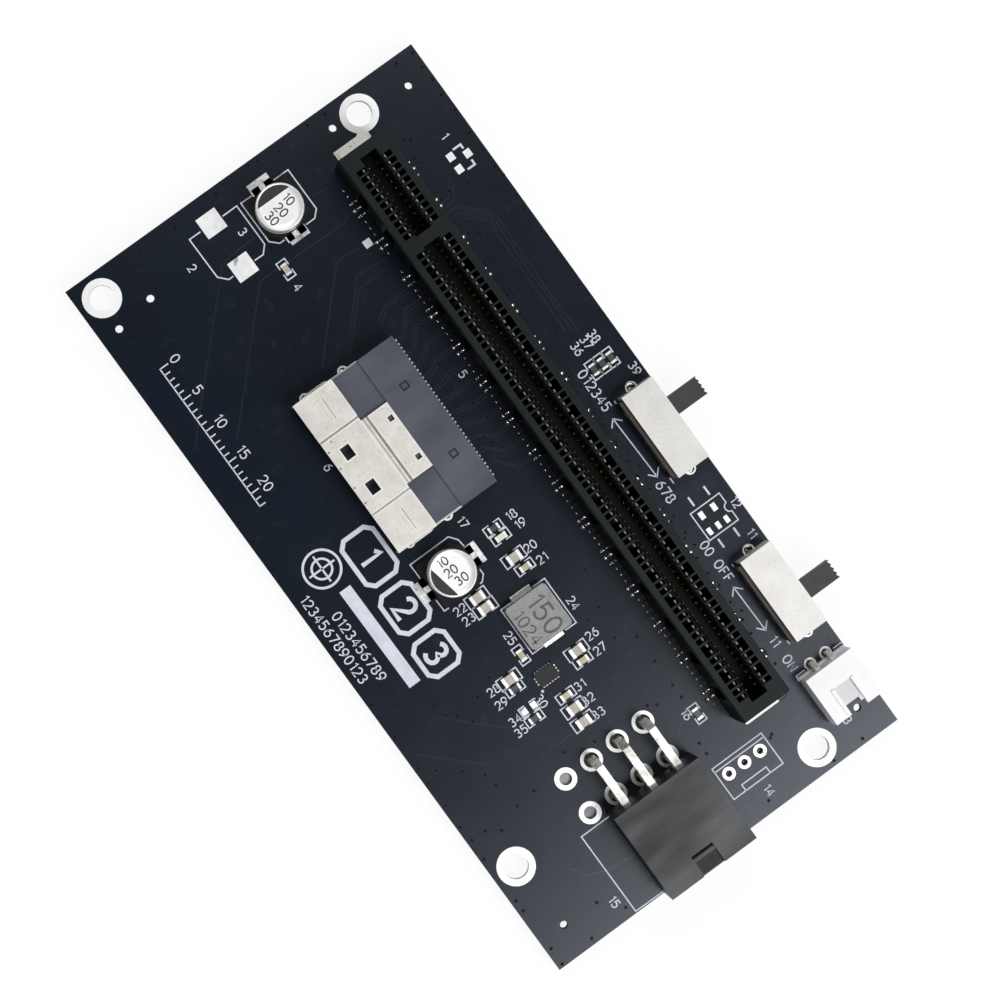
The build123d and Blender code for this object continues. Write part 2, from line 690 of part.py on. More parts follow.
# Slide switches: a folded frame, a base with three terminals, and a knob on a carriage
def build_switch(number, centre_y, knob_y):
    frame_bottom = top + switch_lift
    frame_top = top + switch_height
    frame_height = frame_top - frame_bottom
    window_length = knob_width + switch_travel + 2 * slide_clearance
    window_height = knob_height + 2 * slide_clearance
    with BuildPart() as frame:
        with Locations((switch_x + switch_depth / 2, centre_y, frame_bottom + frame_height / 2)):
            Box(switch_depth, switch_length, frame_height)
        with Locations((switch_x + (switch_depth - switch_sheet) / 2, centre_y,
                        frame_bottom + (frame_height - switch_sheet) / 2)):
            Box(switch_depth - switch_sheet, switch_length - 2 * switch_sheet, frame_height - switch_sheet,
                mode=Mode.SUBTRACT)
        with Locations((switch_front - switch_sheet / 2, centre_y, top + knob_z)):
            Box(2 * switch_sheet, window_length, window_height, mode=Mode.SUBTRACT)
        with Locations(*[(switch_x + switch_depth / 2,
                          centre_y + side * (switch_length - switch_sheet) / 2,
                          (frame_bottom - lead_length) / 2) for side in (1, -1)]):
            Box(switch_leg_width, switch_sheet, frame_bottom + lead_length)
    save(frame.part, f"switch_{number}_frame")

    base_x = switch_x - switch_base_stand + switch_base_thickness / 2
    terminals_y = [centre_y + i * terminal_pitch for i in (-1, 0, 1)]
    with BuildPart() as base:
        with Locations((base_x, centre_y, top + switch_base_height / 2)):
            Box(switch_base_thickness, switch_length - 2 * switch_sheet - 0.2, switch_base_height)
        with Locations(*[(base_x, y, top + terminal_z) for y in terminals_y]):
            Box(switch_base_thickness, terminal_width, terminal_thickness, mode=Mode.SUBTRACT)
    save(base.part, f"switch_{number}_base")

    with BuildPart() as terminals:
        for y in terminals_y:
            with BuildSketch(Plane.XZ.offset(-y - terminal_width / 2)):
                with BuildLine():
                    Polyline(*strip([(switch_x - switch_base_stand, top + terminal_z),
                                     (terminal_x, top + terminal_z), (terminal_x, -lead_length)],
                                    terminal_thickness), close=True)
                make_face()
            extrude(amount=terminal_width)
    save(terminals.part, f"switch_{number}_terminals")

    carriage_x = switch_front - switch_sheet - slide_clearance - carriage[0] / 2
    knob_start = carriage_x + carriage[0] / 2
    knob_end = switch_front + knob_reach
    with BuildPart() as slider:
        with Locations((carriage_x, knob_y, top + knob_z)):
            Box(carriage[0], carriage[1], carriage[2])
        with BuildSketch(Plane.XY.offset(top + knob_z - knob_height / 2)):
            with BuildLine():
                tooth = knob_width / knob_teeth
                side_y = knob_y - knob_width / 2
                teeth = []
                for i in range(knob_teeth):
                    teeth += [(knob_end, side_y + i * tooth),
                              (knob_end - knob_tooth_depth, side_y + (i + 0.75) * tooth)]
                Polyline((knob_start, side_y), *teeth, (knob_end, side_y + knob_width),
                         (knob_start, side_y + knob_width), close=True)
            make_face()
        extrude(amount=knob_height)
    save(slider.part, f"switch_{number}_slider")

    # Bridging clip on the back of the carriage, clear of the terminals by the slide clearance
    clip_back = terminal_x + terminal_thickness / 2 + slide_clearance
    clip_front = carriage_x - carriage[0] / 2
    with BuildPart() as clip:
        with BuildSketch(Plane.XY.offset(top + terminal_z - 0.6)):
            with BuildLine():
                Polyline(*strip([
                    (clip_back + 0.15, knob_y - carriage[1] / 2 + 0.3),
                    (clip_back + 0.15, knob_y - 0.9), (clip_front - clip_sheet / 2, knob_y - 0.5),
                    (clip_front - clip_sheet / 2, knob_y + 0.5), (clip_back + 0.15, knob_y + 0.9),
                    (clip_back + 0.15, knob_y + carriage[1] / 2 - 0.3)], clip_sheet), close=True)
            make_face()
        extrude(amount=1.2)
    save(clip.part, f"switch_{number}_clip")


build_switch(1, switch_centres_y[0], switch_centres_y[0] + knob_offset)
build_switch(2, switch_centres_y[1], switch_centres_y[1] - knob_offset)

# Electrolytic capacitors: a drawn can on a moulded base with two flat leads
for name, x, y, turn in can_places:
    place = Location((x, y, top + land_thickness), (0, 0, turn))
    with BuildPart() as can:
        with BuildSketch(Plane.XZ):
            with BuildLine():
                radius = can_d / 2
                Polyline(
                    (0, can_base_height), (radius, can_base_height), (radius, can_groove_z - can_groove),
                    (radius - can_groove, can_groove_z), (radius, can_groove_z + can_groove),
                    (radius, can_height - can_shoulder), (radius - can_shoulder / 2, can_height),
                    (0, can_height), close=True)
            make_face()
        revolve(axis=Axis.Z)
    save(can.part.moved(place), f"capacitor_{name}_can")
    with BuildPart() as can_foot:
        with BuildSketch():
            half, corner = can_base / 2, can_base_corner
            with BuildLine():
                Polyline((-half, half), (-half, -half + corner), (-half + corner, -half),
                         (half - corner, -half), (half, -half + corner), (half, half), close=True)
            make_face()
        extrude(amount=can_base_height)
        with Locations(*[(0, side * (can_base / 2 + 0.2) / 2, can_lead_thickness / 2) for side in (1, -1)]):
            Box(can_lead_width, can_base / 2 + 0.2, can_lead_thickness, mode=Mode.SUBTRACT)
    save(can_foot.part.moved(place), f"capacitor_{name}_base")
    with BuildPart() as can_leads:
        with Locations(*[(0, side * (can_lead_reach + 0.7) / 2, can_lead_thickness / 2) for side in (1, -1)]):
            Box(can_lead_width, can_lead_reach - 0.7, can_lead_thickness)
    save(can_leads.part.moved(place), f"capacitor_{name}_leads")

# Bare plated lands: the empty footprints and the lands that show around soldered feet
with BuildPart() as bare_lands_part:
    with BuildSketch(Plane.XY.offset(top)):
        with Locations(*bare_places):
            Rectangle(bare_land, bare_land)
        for x, y, width, length in small_places:
            with Locations((x, y)):
                Rectangle(width, length)
        for name, x, y, turn in can_places:
            for side in (1, -1):
                reach = side * (can_land_reach - can_land[1] / 2)
                along = Location((x, y, 0), (0, 0, turn)) * Location((0, reach, 0))
                with Locations(along):
                    Rectangle(*can_land)
        with Locations(*[(slot_x, slot_y + side * (slot_length + holddown_land) / 2) for side in (1, -1)]):
            Rectangle(holddown_width, holddown_land)
    extrude(amount=land_thickness)
save(bare_lands_part.part, "bare_lands")

# Inductor: a pressed block with a terminal folded under each end
with BuildPart() as inductor_body:
    lift = inductor_terminal_thickness
    with Locations((inductor_x, inductor_y, top + lift + (inductor_size[2] - lift) / 2)):
        Box(inductor_size[0], inductor_size[1], inductor_size[2] - lift)
    chamfer(inductor_body.edges().filter_by(Axis.Z), inductor_corner)
save(inductor_body.part, "inductor_body")

with BuildPart() as inductor_terminals:
    for side in (1, -1):
        end_y = inductor_y + side * inductor_size[1] / 2
        with Locations((inductor_x, end_y + side * (inductor_terminal_reach - inductor_terminal_tuck) / 2,
                        top + inductor_terminal_thickness / 2)):
            Box(inductor_terminal_width, inductor_terminal_reach + inductor_terminal_tuck,
                inductor_terminal_thickness)
save(inductor_terminals.part, "inductor_terminals")

# Converter chip on its ring of leads
with BuildPart() as chip_leads:
    length, width, height = chip_lead
    along_x = [chip_x + (i - 2.5) * 0.45 for i in range(6)]
    with Locations(*[(x, chip_y + side * (chip_size[1] / 2), top + height / 2)
                     for x in along_x for side in (1, -1)]):
        Box(length, width, height)
    with Locations(*[(chip_x + side * (chip_size[0] / 2), chip_y + i * 0.45, top + height / 2)
                     for i in (-1, 0, 1) for side in (1, -1)]):
        Box(width, length, height)
save(chip_leads.part, "converter_chip_leads")

with BuildPart() as converter_chip:
    with Locations((chip_x, chip_y, top + chip_lead[2] + (chip_size[2] - chip_lead[2]) / 2)):
        Box(chip_size[0], chip_size[1], chip_size[2] - chip_lead[2])
save(converter_chip.part, "converter_chip")


# Small two-ended parts: a block between two metal end caps
def build_chips(body_name, ends_name, groups):
    with BuildPart() as bodies:
        for places, (length, width, height, cap) in groups:
            for x, y, upright in places:
                size = (length - 2 * cap, width)
                with Locations((x, y, top + height / 2)):
                    Box(*(size[::-1] if upright else size), height)
    save(bodies.part, body_name)
    with BuildPart() as ends:
        for places, (length, width, height, cap) in groups:
            for x, y, upright in places:
                reach = (length - cap) / 2
                for side in (1, -1):
                    shift = (0, side * reach) if upright else (side * reach, 0)
                    size = (cap, width + 0.06)
                    with Locations((x + shift[0], y + shift[1], top + (height + 0.04) / 2)):
                        Box(*(size[::-1] if upright else size), height + 0.04)
    save(ends.part, ends_name)


build_chips("small_capacitor_bodies", "small_capacitor_ends", [(small_capacitors, small_case)])
build_chips("large_capacitor_bodies", "large_capacitor_ends", [(large_capacitors, large_case)])
build_chips("resistor_bodies", "resistor_ends", [([*resistors, *switch_resistors], resistor_case)])
build_chips("indicator_lamp", "indicator_lamp_ends", [(lamp, lamp_case)])
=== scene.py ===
"""Looks of the cable-to-card-slot adapter board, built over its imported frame.

Metres, in the frame of the model: X across the board towards the switches, Y
along the board, Z up, origin midway between the right-hand screw holes on the
board's underside.
"""
from math import pi, radians

import bpy
import numpy as np
from mathutils import Matrix, Vector


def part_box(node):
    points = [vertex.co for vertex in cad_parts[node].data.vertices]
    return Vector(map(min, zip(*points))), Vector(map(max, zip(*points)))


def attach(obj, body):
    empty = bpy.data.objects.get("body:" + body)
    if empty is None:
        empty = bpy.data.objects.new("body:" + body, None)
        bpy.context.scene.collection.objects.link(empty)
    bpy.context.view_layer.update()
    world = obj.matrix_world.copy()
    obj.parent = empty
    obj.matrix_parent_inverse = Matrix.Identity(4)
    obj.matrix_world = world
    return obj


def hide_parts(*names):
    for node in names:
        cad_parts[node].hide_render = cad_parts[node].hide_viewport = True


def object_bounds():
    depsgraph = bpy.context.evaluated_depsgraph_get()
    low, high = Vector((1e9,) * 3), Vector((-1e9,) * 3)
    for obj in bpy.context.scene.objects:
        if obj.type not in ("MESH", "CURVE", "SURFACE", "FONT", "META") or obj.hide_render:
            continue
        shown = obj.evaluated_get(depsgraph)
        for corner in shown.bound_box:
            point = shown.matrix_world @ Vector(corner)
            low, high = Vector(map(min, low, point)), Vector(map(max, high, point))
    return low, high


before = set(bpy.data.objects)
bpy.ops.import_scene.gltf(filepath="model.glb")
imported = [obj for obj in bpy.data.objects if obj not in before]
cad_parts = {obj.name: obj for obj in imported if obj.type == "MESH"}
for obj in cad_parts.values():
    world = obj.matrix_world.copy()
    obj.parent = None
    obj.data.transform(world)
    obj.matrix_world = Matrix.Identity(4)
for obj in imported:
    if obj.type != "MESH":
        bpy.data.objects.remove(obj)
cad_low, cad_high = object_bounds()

# Camera. It stands 0.46 m above the middle of the board, a few degrees off the
# upright, and turned so that the board lies across the picture.
turn = (Matrix.Rotation(radians(36.109), 3, "Z") @ Matrix.Rotation(radians(3.758), 3, "Y")
        @ Matrix.Rotation(radians(2.825), 3, "X"))
eye = turn.transposed() @ Matrix.Translation((0.0019343, 0.0010491, 0.4586660)).translation
camera_data = bpy.data.cameras.new("camera")
camera_data.lens = 126.17
camera_data.sensor_width = 36
camera_data.clip_start = 0.01
camera_data.clip_end = 20
camera = bpy.data.objects.new("camera", camera_data)
board_middle = (-0.01693, 0.000015, 0.0016)
stand = [e + m for e, m in zip(eye, board_middle)]
camera.matrix_world = Matrix.Translation(stand) @ turn.transposed().to_4x4()
bpy.context.scene.collection.objects.link(camera)
bpy.context.scene.camera = camera
bpy.context.scene.view_settings.view_transform = "Standard"


# Studio light. One broad lamp past the low end, which lays a sheen on that end and
# throws the slot's shadow to the left, a weaker one past the far end, and a white
# room that is dimmer in mirrored light.
def soft_lamp(name, place, aim, size, power):
    """A square studio lamp at a place, turned to shine at a point."""
    data = bpy.data.lights.new(name, "AREA")
    data.shape = "SQUARE"
    data.size = size
    data.energy = power
    lamp = bpy.data.objects.new(name, data)
    lamp.location = place
    lamp.rotation_euler = Vector(np.subtract(place, aim)).to_track_quat("Z", "Y").to_euler()
    bpy.context.scene.collection.objects.link(lamp)


def add_node(tree, kind, inputs, **settings):
    """A new shader node. Each input is set to its value, or linked where it is given a socket."""
    node = tree.nodes.new("ShaderNode" + kind)
    for setting, value in settings.items():
        setattr(node, setting, value)
    for name, value in inputs.items():
        if isinstance(value, bpy.types.NodeSocket):
            tree.links.new(value, node.inputs[name])
        else:
            node.inputs[name].default_value = value
    return node


soft_lamp("lamp_low_end", (0.06, -0.32, 0.66), (-0.015, 0, 0), 0.35, 3.15)
soft_lamp("lamp_far_end", (0.15, 0.27, 0.62), (-0.015, 0, 0), 0.32, 1.0)

diffuse_room, mirrored_room, seen_room = 0.34, 0.13, 1.0
world = bpy.data.worlds.new("studio")
bpy.context.scene.world = world
world.use_nodes = True
sky = world.node_tree
sky.nodes.clear()
ray = add_node(sky, "LightPath", {})
rooms = [add_node(sky, "Background", {"Color": (1, 1, 1, 1), "Strength": strength}).outputs[0]
         for strength in (diffuse_room, mirrored_room, seen_room)]
lit = add_node(sky, "MixShader", {0: ray.outputs["Is Glossy Ray"], 1: rooms[0], 2: rooms[1]})
seen = add_node(sky, "MixShader", {0: ray.outputs["Is Camera Ray"], 1: lit.outputs[0], 2: rooms[2]})
add_node(sky, "OutputWorld", {0: seen.outputs[0]})

# Floor. A wide white table 1.5 mm under the board, level with the ends of the
# soldered leads that the board stands on.
floor_z = float(cad_low.z) - 0.00002
floor_half = 6
glow_share = 0.9
floor_mesh = bpy.data.meshes.new("floor")
corners = [(x * floor_half, y * floor_half, floor_z) for x, y in ((-1, -1), (1, -1), (1, 1), (-1, 1))]
floor_mesh.from_pydata(corners, [], [(0, 1, 2, 3)])
floor = bpy.data.objects.new("floor", floor_mesh)
bpy.context.scene.collection.objects.link(floor)
floor_white = bpy.data.materials.new("floor_white")
floor_white.use_nodes = True
tree = floor_white.node_tree
tree.nodes.clear()
ray = add_node(tree, "LightPath", {})
matt = add_node(tree, "BsdfDiffuse", {"Color": (0.93, 0.93, 0.93, 1)})
glow = add_node(tree, "Emission", {"Color": (1, 1, 1, 1), "Strength": 1.01})
share = add_node(tree, "Math", {0: ray.outputs["Is Camera Ray"], 1: glow_share}, operation="MULTIPLY")
blend = add_node(tree, "MixShader", {0: share.outputs[0], 1: matt.outputs[0], 2: glow.outputs[0]})
add_node(tree, "OutputMaterial", {0: blend.outputs[0]})
floor_mesh.materials.append(floor_white)

# Circuit board. A 1.6 mm glass and resin laminate under near-black solder mask,
# routed along its sides, where the brownish glass layers show as thin lines.
board_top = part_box("circuit_board")[1].z
top_mm = board_top * 1000


def mixed(tree, share, first, second):
    """A colour between two: the first at a share of 0, the second at 1."""
    mix = add_node(tree, "Mix", {"Factor": share, "A": first, "B": second}, data_type="RGBA")
    return mix.outputs["Result"]


def climb(tree, value, low, high):
    """A share that goes from 0 to 1 while a value goes from low to high."""
    return add_node(tree, "MapRange", {"Value": value, "From Min": low, "From Max": high}).outputs[0]


def finish(name, base, second, scale, rough, rough_spread=0.08, metallic=0.0, bump=0.0, bump_scale=None,
           sheen=0.5, stretch=(1, 1, 1), fleck=None, fleck_share=0.7, fleck_scale=None):
    """A surface whose colour drifts from base to second over noise of a given scale (per metre).

    Roughness is rough plus or minus rough_spread from a finer noise, the height
    of a third noise, bump in metres, gives the grain, and where a fourth noise
    is above fleck_share the colour turns to the fleck's.
    """
    material = bpy.data.materials.new(name)
    material.use_nodes = True
    tree = material.node_tree
    tree.nodes.clear()
    where = add_node(tree, "TexCoord", {}).outputs["Object"]
    spread = add_node(tree, "Mapping", {"Vector": where, "Scale": stretch}).outputs[0]

    def noise(noise_scale, detail):
        """The height of a noise of a given scale over the object."""
        made = add_node(tree, "TexNoise", {"Vector": spread, "Scale": noise_scale, "Detail": detail})
        return made.outputs["Fac"]

    tint = add_node(tree, "ValToRGB", {0: noise(scale, 5)})
    for stop, position, shade in zip(tint.color_ramp.elements, (0.32, 0.68), (base, second)):
        stop.position = position
        stop.color = (*shade, 1)
    colour = tint.outputs[0]
    if fleck:
        grit = noise(fleck_scale or scale * 12, 2)
        colour = mixed(tree, climb(tree, grit, fleck_share, fleck_share + 0.05), colour, (*fleck, 1))
    rough_range = {"To Min": max(rough - rough_spread, 0.02), "To Max": min(rough + rough_spread, 1)}
    gloss = add_node(tree, "MapRange", {"Value": noise(scale * 4, 4)} | rough_range)
    looks = {"Base Color": colour, "Roughness": gloss.outputs[0], "Metallic": metallic,
             "Specular IOR Level": sheen}
    if bump:
        grain = noise(bump_scale or scale * 10, 3)
        relief = add_node(tree, "Bump", {"Height": grain, "Strength": 1, "Distance": bump})
        looks["Normal"] = relief.outputs[0]
    shader = add_node(tree, "BsdfPrincipled", looks)
    add_node(tree, "OutputMaterial", {0: shader.outputs[0]})
    return material


def shader_of(material):
    """A finish's tree, its shader and the socket that gives the shader its colour."""
    tree = material.node_tree
    shader = next(n for n in tree.nodes if n.type == "BSDF_PRINCIPLED")
    return tree, shader, shader.inputs["Base Color"].links[0].from_socket


def z_of(tree, kind, output):
    """The Z part of a vector that a new node of the given kind puts out."""
    vector = add_node(tree, kind, {}).outputs[output]
    return add_node(tree, "SeparateXYZ", {0: vector}).outputs["Z"]


def dress(node, material):
    """Gives a node of the frame its finish."""
    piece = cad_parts[node]
    piece.data.materials.clear()
    piece.data.materials.append(material)


solder_mask = finish("solder_mask", (0.0022, 0.0054, 0.0115), (0.0036, 0.0078, 0.0165), 45, 0.21, 0.02,
                     bump=0.000003, bump_scale=1400, sheen=0.36, fleck=(0.0062, 0.0105, 0.0185),
                     fleck_share=0.64, fleck_scale=520)
mask, mask_shader, mask_colour = shader_of(solder_mask)
mask_shader.inputs["Specular Tint"].default_value = (0.86, 0.92, 1.0, 1)
steep = add_node(mask, "Math", {0: z_of(mask, "NewGeometry", "Normal")}, operation="ABSOLUTE")
is_edge = add_node(mask, "Math", {0: steep.outputs[0], 1: 0.5}, operation="LESS_THAN")
where = add_node(mask, "TexCoord", {}).outputs["Object"]
layers = add_node(mask, "TexWave", {"Vector": where, "Scale": 1400, "Distortion": 3, "Detail Scale": 300},
                  bands_direction="Z")
glass = mixed(mask, layers.outputs["Fac"], (0.022, 0.019, 0.012, 1), (0.075, 0.066, 0.042, 1))
mask.links.new(mixed(mask, is_edge.outputs[0], mask_colour, glass), mask_shader.inputs["Base Color"])
dress("circuit_board", solder_mask)


# Copper tracks under the mask. They show as faint ridges in the same black,
# running from the port and the slot to the ends of the board.
def piece_from(name, parts, material, body="board", smooth=False):
    """A mesh piece that joins (points, faces) pairs, in metres, riding on a body."""
    points, faces = [], []
    for some_points, some_faces in parts:
        faces += [[int(v) + len(points) for v in face] for face in some_faces]
        points += np.asarray(some_points).tolist()
    mesh = bpy.data.meshes.new(name)
    mesh.from_pydata(points, [], faces)
    mesh.validate()
    mesh.update()
    if smooth:
        mesh.polygons.foreach_set("use_smooth", np.ones(len(mesh.polygons), dtype=bool))
    mesh.materials.append(material)
    piece = bpy.data.objects.new(name, mesh)
    bpy.context.scene.collection.objects.link(piece)
    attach(piece, body)
    return piece


def stripe(points, width, height):
    """Quads of a flat stripe along a line of points in mm, mitred at its corners.

    Each point is moved half the width to both sides, along the mean of its two
    neighbouring edges' normals divided by that mean's squared length, which is
    held above 0.3 so that a sharp corner grows no spike.
    """
    line = np.asarray(points, float)
    edge = np.diff(line, axis=0)
    edge /= np.linalg.norm(edge, axis=1, keepdims=True)
    normal = np.stack([-edge[:, 1], edge[:, 0]], 1)
    mean = np.vstack([normal[:1], (normal[1:] + normal[:-1]) / 2, normal[-1:]])
    if np.allclose(line[0], line[-1]):
        mean[0] = mean[-1] = (normal[0] + normal[-1]) / 2
    mean /= np.maximum((mean ** 2).sum(1, keepdims=True), 0.3)
    rows = np.stack([line + mean * width / 2, line - mean * width / 2], 1).reshape(-1, 2)
    points3 = np.column_stack([rows, np.full(len(rows), height)]) / 1000
    first = np.arange(len(line) - 1) * 2
    return points3, np.stack([first, first + 1, first + 3, first + 2], 1)


def under(part):
    """The same part turned over, so that its faces look down."""
    points, faces = part
    return points, np.asarray(faces)[:, ::-1]


tracks = [
    [(-43.2, 28.3), (-39.2, 32.5), (-27.7, 44.1), (-26.0, 45.8), (-24.8, 46.1), (-20.6, 46.2)],
    [(-38.1, 26.1), (-23.4, 41.1), (-22.2, 41.2), (-10.1, 40.9), (-8.5, 41.6)],
    [(-23.5, 27.3), (-13.9, 37.3), (-12.8, 37.5), (-9.7, 37.1)],
    [(-20.4, 26.1), (-12.7, 34.4), (-8.2, 34.0)],
    [(-19.8, 26.1), (-13.5, 32.9), (-8.7, 32.9)],
    [(-11.4, 46.2), (-9.2, 45.9)],
    [(-13.7, 27.4), (-12.1, 28.6), (-8.4, 28.7)],
    [(-13.8, 28.0), (-12.3, 29.0), (-8.3, 29.2)],
    [(4.7, 37.8), (3.2, 35.8), (1.5, 35.6)],
    [(4.9, 37.2), (3.4, 34.9), (1.6, 34.8)],
    [(1.5, 34.2), (3.2, 34.2), (6.6, 31.0), (6.8, 30.2), (6.5, 19.0), (6.6, 11.2)],
    [(1.6, 33.9), (3.1, 33.9), (6.4, 30.8), (6.2, 28.8), (6.0, 21.2), (6.1, 17.0), (6.0, 12.2)],
    [(2.3, 33.4), (3.2, 33.3), (6.1, 30.6), (5.7, 28.6)],
    [(2.2, 32.9), (3.2, 32.9), (5.7, 30.4), (5.4, 28.8), (5.4, 23.1), (5.3, 16.6), (5.2, 12.5)],
    [(2.2, 32.3), (3.2, 32.3), (5.2, 30.4)],
    [(-38.4, -18.2), (-31.5, -25.0)],
    [(-43.3, -20.6), (-36.0, -27.8)],
    [(-30.8, -30.6), (-25.4, -30.6)],
    [(-35.8, -44.6), (-34.4, -46.9), (-31.5, -48.0), (-27.6, -48.3)],
    [(-24.1, -38.1), (-17.2, -38.3)],
    [(-14.3, -39.3), (-12.6, -38.0)],
    [(-30.3, -42.7), (-28.3, -42.8)],
]
pair_gap = 0.45
for i in range(11):
    y = 4.2 + 2.0 * i
    fan = (i - 5) * 0.5
    tracks.append([(-13.3, y), (-12.3, y), (-10.3, y + fan), (-7.7, y + fan)])
    y += pair_gap
    tracks.append([(-13.3, y), (-12.4, y), (-10.4, y + fan), (-7.7, y + fan)])
for i in range(6):
    tracks.append([(2.3, 9.0 - 2.2 * i), (3.0, 8.4 - 2.2 * i), (3.0, 6.9 - 2.2 * i)])
    tracks.append([(3.4 + 0.45 * i, -12.6 - 0.35 * i), (5.9 + 0.4 * i, -13.4 - 0.3 * i),
                   (9.6, -13.3 - 0.4 * i)])
mask_ridge = finish("mask_over_copper", (0.0085, 0.012, 0.021), (0.012, 0.0165, 0.027), 60, 0.2, 0.02,
                    sheen=0.38)
ridge = 0.012
piece_from("masked_tracks", [stripe(t, 0.2, top_mm + ridge) for t in tracks], mask_ridge)
low_tracks = [[(x, 52 - 2.2 * k), (x + 2.4, 48 - 2.2 * k), (x + 2.4, -30 + 1.5 * k), (x + 8, -36 + 1.5 * k)]
              for k, x in enumerate(np.arange(-27.4, -14, 1.9))]
piece_from("underside_tracks", [under(stripe(t, 0.3, -ridge)) for t in low_tracks], mask_ridge)


# Vias. Small drilled and plated holes under the mask, each a faint ring round a flat near-black
# disc, painted shade of its dimple, in rows along the slot and the edges and over the copper.
def flat_ring(x, y, inner, outer, height, sides):
    """Quads of a flat ring round (x, y) in mm, between two radii."""
    angle = np.linspace(0, 2 * pi, sides, endpoint=False)
    circle = np.stack([np.cos(angle), np.sin(angle)], 1)
    both = np.vstack([circle * inner, circle * outer]) + (x, y)
    points3 = np.column_stack([both, np.full(2 * sides, height)]) / 1000
    here = np.arange(sides)
    after = (here + 1) % sides
    return points3, np.stack([here, here + sides, after + sides, after], 1)


def flat_disc(x, y, radius, height, sides):
    """One face: the points at a radius round (x, y) in mm."""
    angle = np.linspace(0, 2 * pi, sides, endpoint=False)
    rim = np.column_stack([x + radius * np.cos(angle), y + radius * np.sin(angle), np.full(sides, height)])
    return rim / 1000, np.arange(sides)[None, :]


via_places = [
    (-37.6, -16.7), (-37, -18.9), (-35.9, -19.9), (-34.7, -21.6), (-42.3, -24), (-39.6, -26.1),
    (-37.5, -28.2), (-37.1, -30.1), (-40, -35.4), (-41.8, -34.2), (-43.9, -34.1), (-44.1, -37.1),
    (-43.9, -44), (-43.9, -45.6), (-35.5, -50.5), (-32.8, -53.3), (-38.8, -53.9), (-43.9, -51.8),
    (-43.9, -54.3), (-44.1, -17.2), (-44, -22.4), (-44.1, -24.6), (-44, -28.4), (-44.1, -31.8),
    (-27.4, -32), (-13.2, -23.8), (-10.7, -25.4), (-14.6, -19.8), (-12.5, -19.3), (-10.7, -29.4),
    (-11.1, -14.2), (-12.3, -41.6), (-12.3, -43.3), (-13.8, -34.2), (-10.6, -35.3), (-29.6, -18.2),
    (-32.3, -19.4), (7.8, 53.8), (10.3, 53.7), (10.2, 51.5), (10.4, 49.3), (10.2, 47.1), (10.5, 44.5),
    (10.3, 40.9), (10.4, 38.2), (10.5, 34.8), (10.5, 30.8), (10.4, 25), (-11.4, 53.4), (-15.7, 54.3),
    (-21.3, 53.7), (-28.2, 53.3), (-33.7, 53.5), (-37.6, 53.6), (-3.7, 53.9), (-6.4, 54), (-14.4, 54.1),
    (-40.7, 47.4), (-40, 45.1), (-44.1, 39), (-44.1, 35.7), (-44.1, 30.9), (-44.1, 25.7), (-44.1, 21.4),
    (-44.1, 17.4), (-31.9, 41.5), (-26.5, 38.7), (-24, 32.4), (-26.3, 34.2), (2.6, 45.2), (3.4, 44.6),
    (0.9, 43.3), (2.4, 42.5), (2.9, 41.4), (3.7, 38.5), (8, 25.8), (4.4, 22.1), (4.4, 19), (4.2, 13.3),
    (7, 19.2), (10.4, 35.5), (10.6, 33.9), (10.2, 28.7), (10.2, 21.7), (10.2, 16.5), (10.4, 14),
    (10.1, 11.5), (3.9, 30.3), (3.5, 29.7), (3.5, 29), (2.4, 30.4), (1.8, 25.9), (1.8, 22.9),
    (1.8, 20.9), (1.7, 17.9), (1.9, 15.9), (3.6, 36.3), (6.3, 35.7), (5.4, 35.5), (2.1, 37.3),
    (2.1, 36), (-3.85, -46.35), (-4.29, -46.66), (-13.4, 50.9), (8.9, -46.4), (-9.3, -53.2),
    (0.8, -54.1), (5.6, -54.0),
]
rng = np.random.default_rng(7)
for y in np.arange(-39.5, 15, 2.6):
    via_places.append((1.9 + rng.uniform(-0.15, 0.25), y + rng.uniform(-0.5, 0.5)))
    if rng.random() < 0.6:
        via_places.append((2.6 + rng.uniform(-0.2, 0.2), y + 0.9 + rng.uniform(-0.3, 0.3)))
for y in np.arange(5, 28, 1.5):
    via_places.append((-10.6 + rng.uniform(-1.6, 1.2), y + rng.uniform(-0.5, 0.5)))
for y in np.arange(-12, 18, 4.4):
    via_places.append((-44.0 + rng.uniform(-0.2, 0.2), y))
for x in np.arange(-37, -11, 4.2):
    via_places.append((x + rng.uniform(-1.2, 1.2), -33.4 + rng.uniform(-1.2, 1.2)))
via_rim = finish("via_rim", (0.0035, 0.0065, 0.0125), (0.0055, 0.009, 0.017), 200, 0.3, sheen=0.2)
# Painted shade: the near-black discs below stand in for the shade down each via's dimple.
via_shade_black = finish("via_painted_shade", (0.0008, 0.001, 0.0015), (0.0016, 0.002, 0.003), 200, 0.5, sheen=0.06)
via_bore = 0.16
via_rings = [flat_ring(x, y, via_bore, 0.28, top_mm + 0.014, 12) for x, y in via_places]
via_rings += [under(flat_ring(x, y, via_bore, 0.34, -0.014, 12)) for x, y in via_places]
piece_from("via_rings", via_rings, via_rim)
dimples = [flat_disc(x, y, via_bore + 0.01, top_mm + 0.013, 10) for x, y in via_places]
dimples += [under(flat_disc(x, y, via_bore + 0.01, -0.013, 10)) for x, y in via_places]
piece_from("via_painted_shades", dimples, via_shade_black)

# Ring lands and hole linings. Tinned copper rings round every soldered hole, and
# wide bright ones round the four screw holes.
tin = finish("tinned_copper", (0.74, 0.74, 0.73), (0.9, 0.9, 0.89), 500, 0.34, 0.1, metallic=0.45,
             bump=0.00001, bump_scale=900)
bright_tin = finish("screw_land_tin", (0.88, 0.88, 0.89), (0.94, 0.94, 0.95), 260, 0.4, 0.08, metallic=0.2,
                    bump=0.000006, bump_scale=700, fleck=(0.78, 0.78, 0.8), fleck_share=0.66, fleck_scale=900)


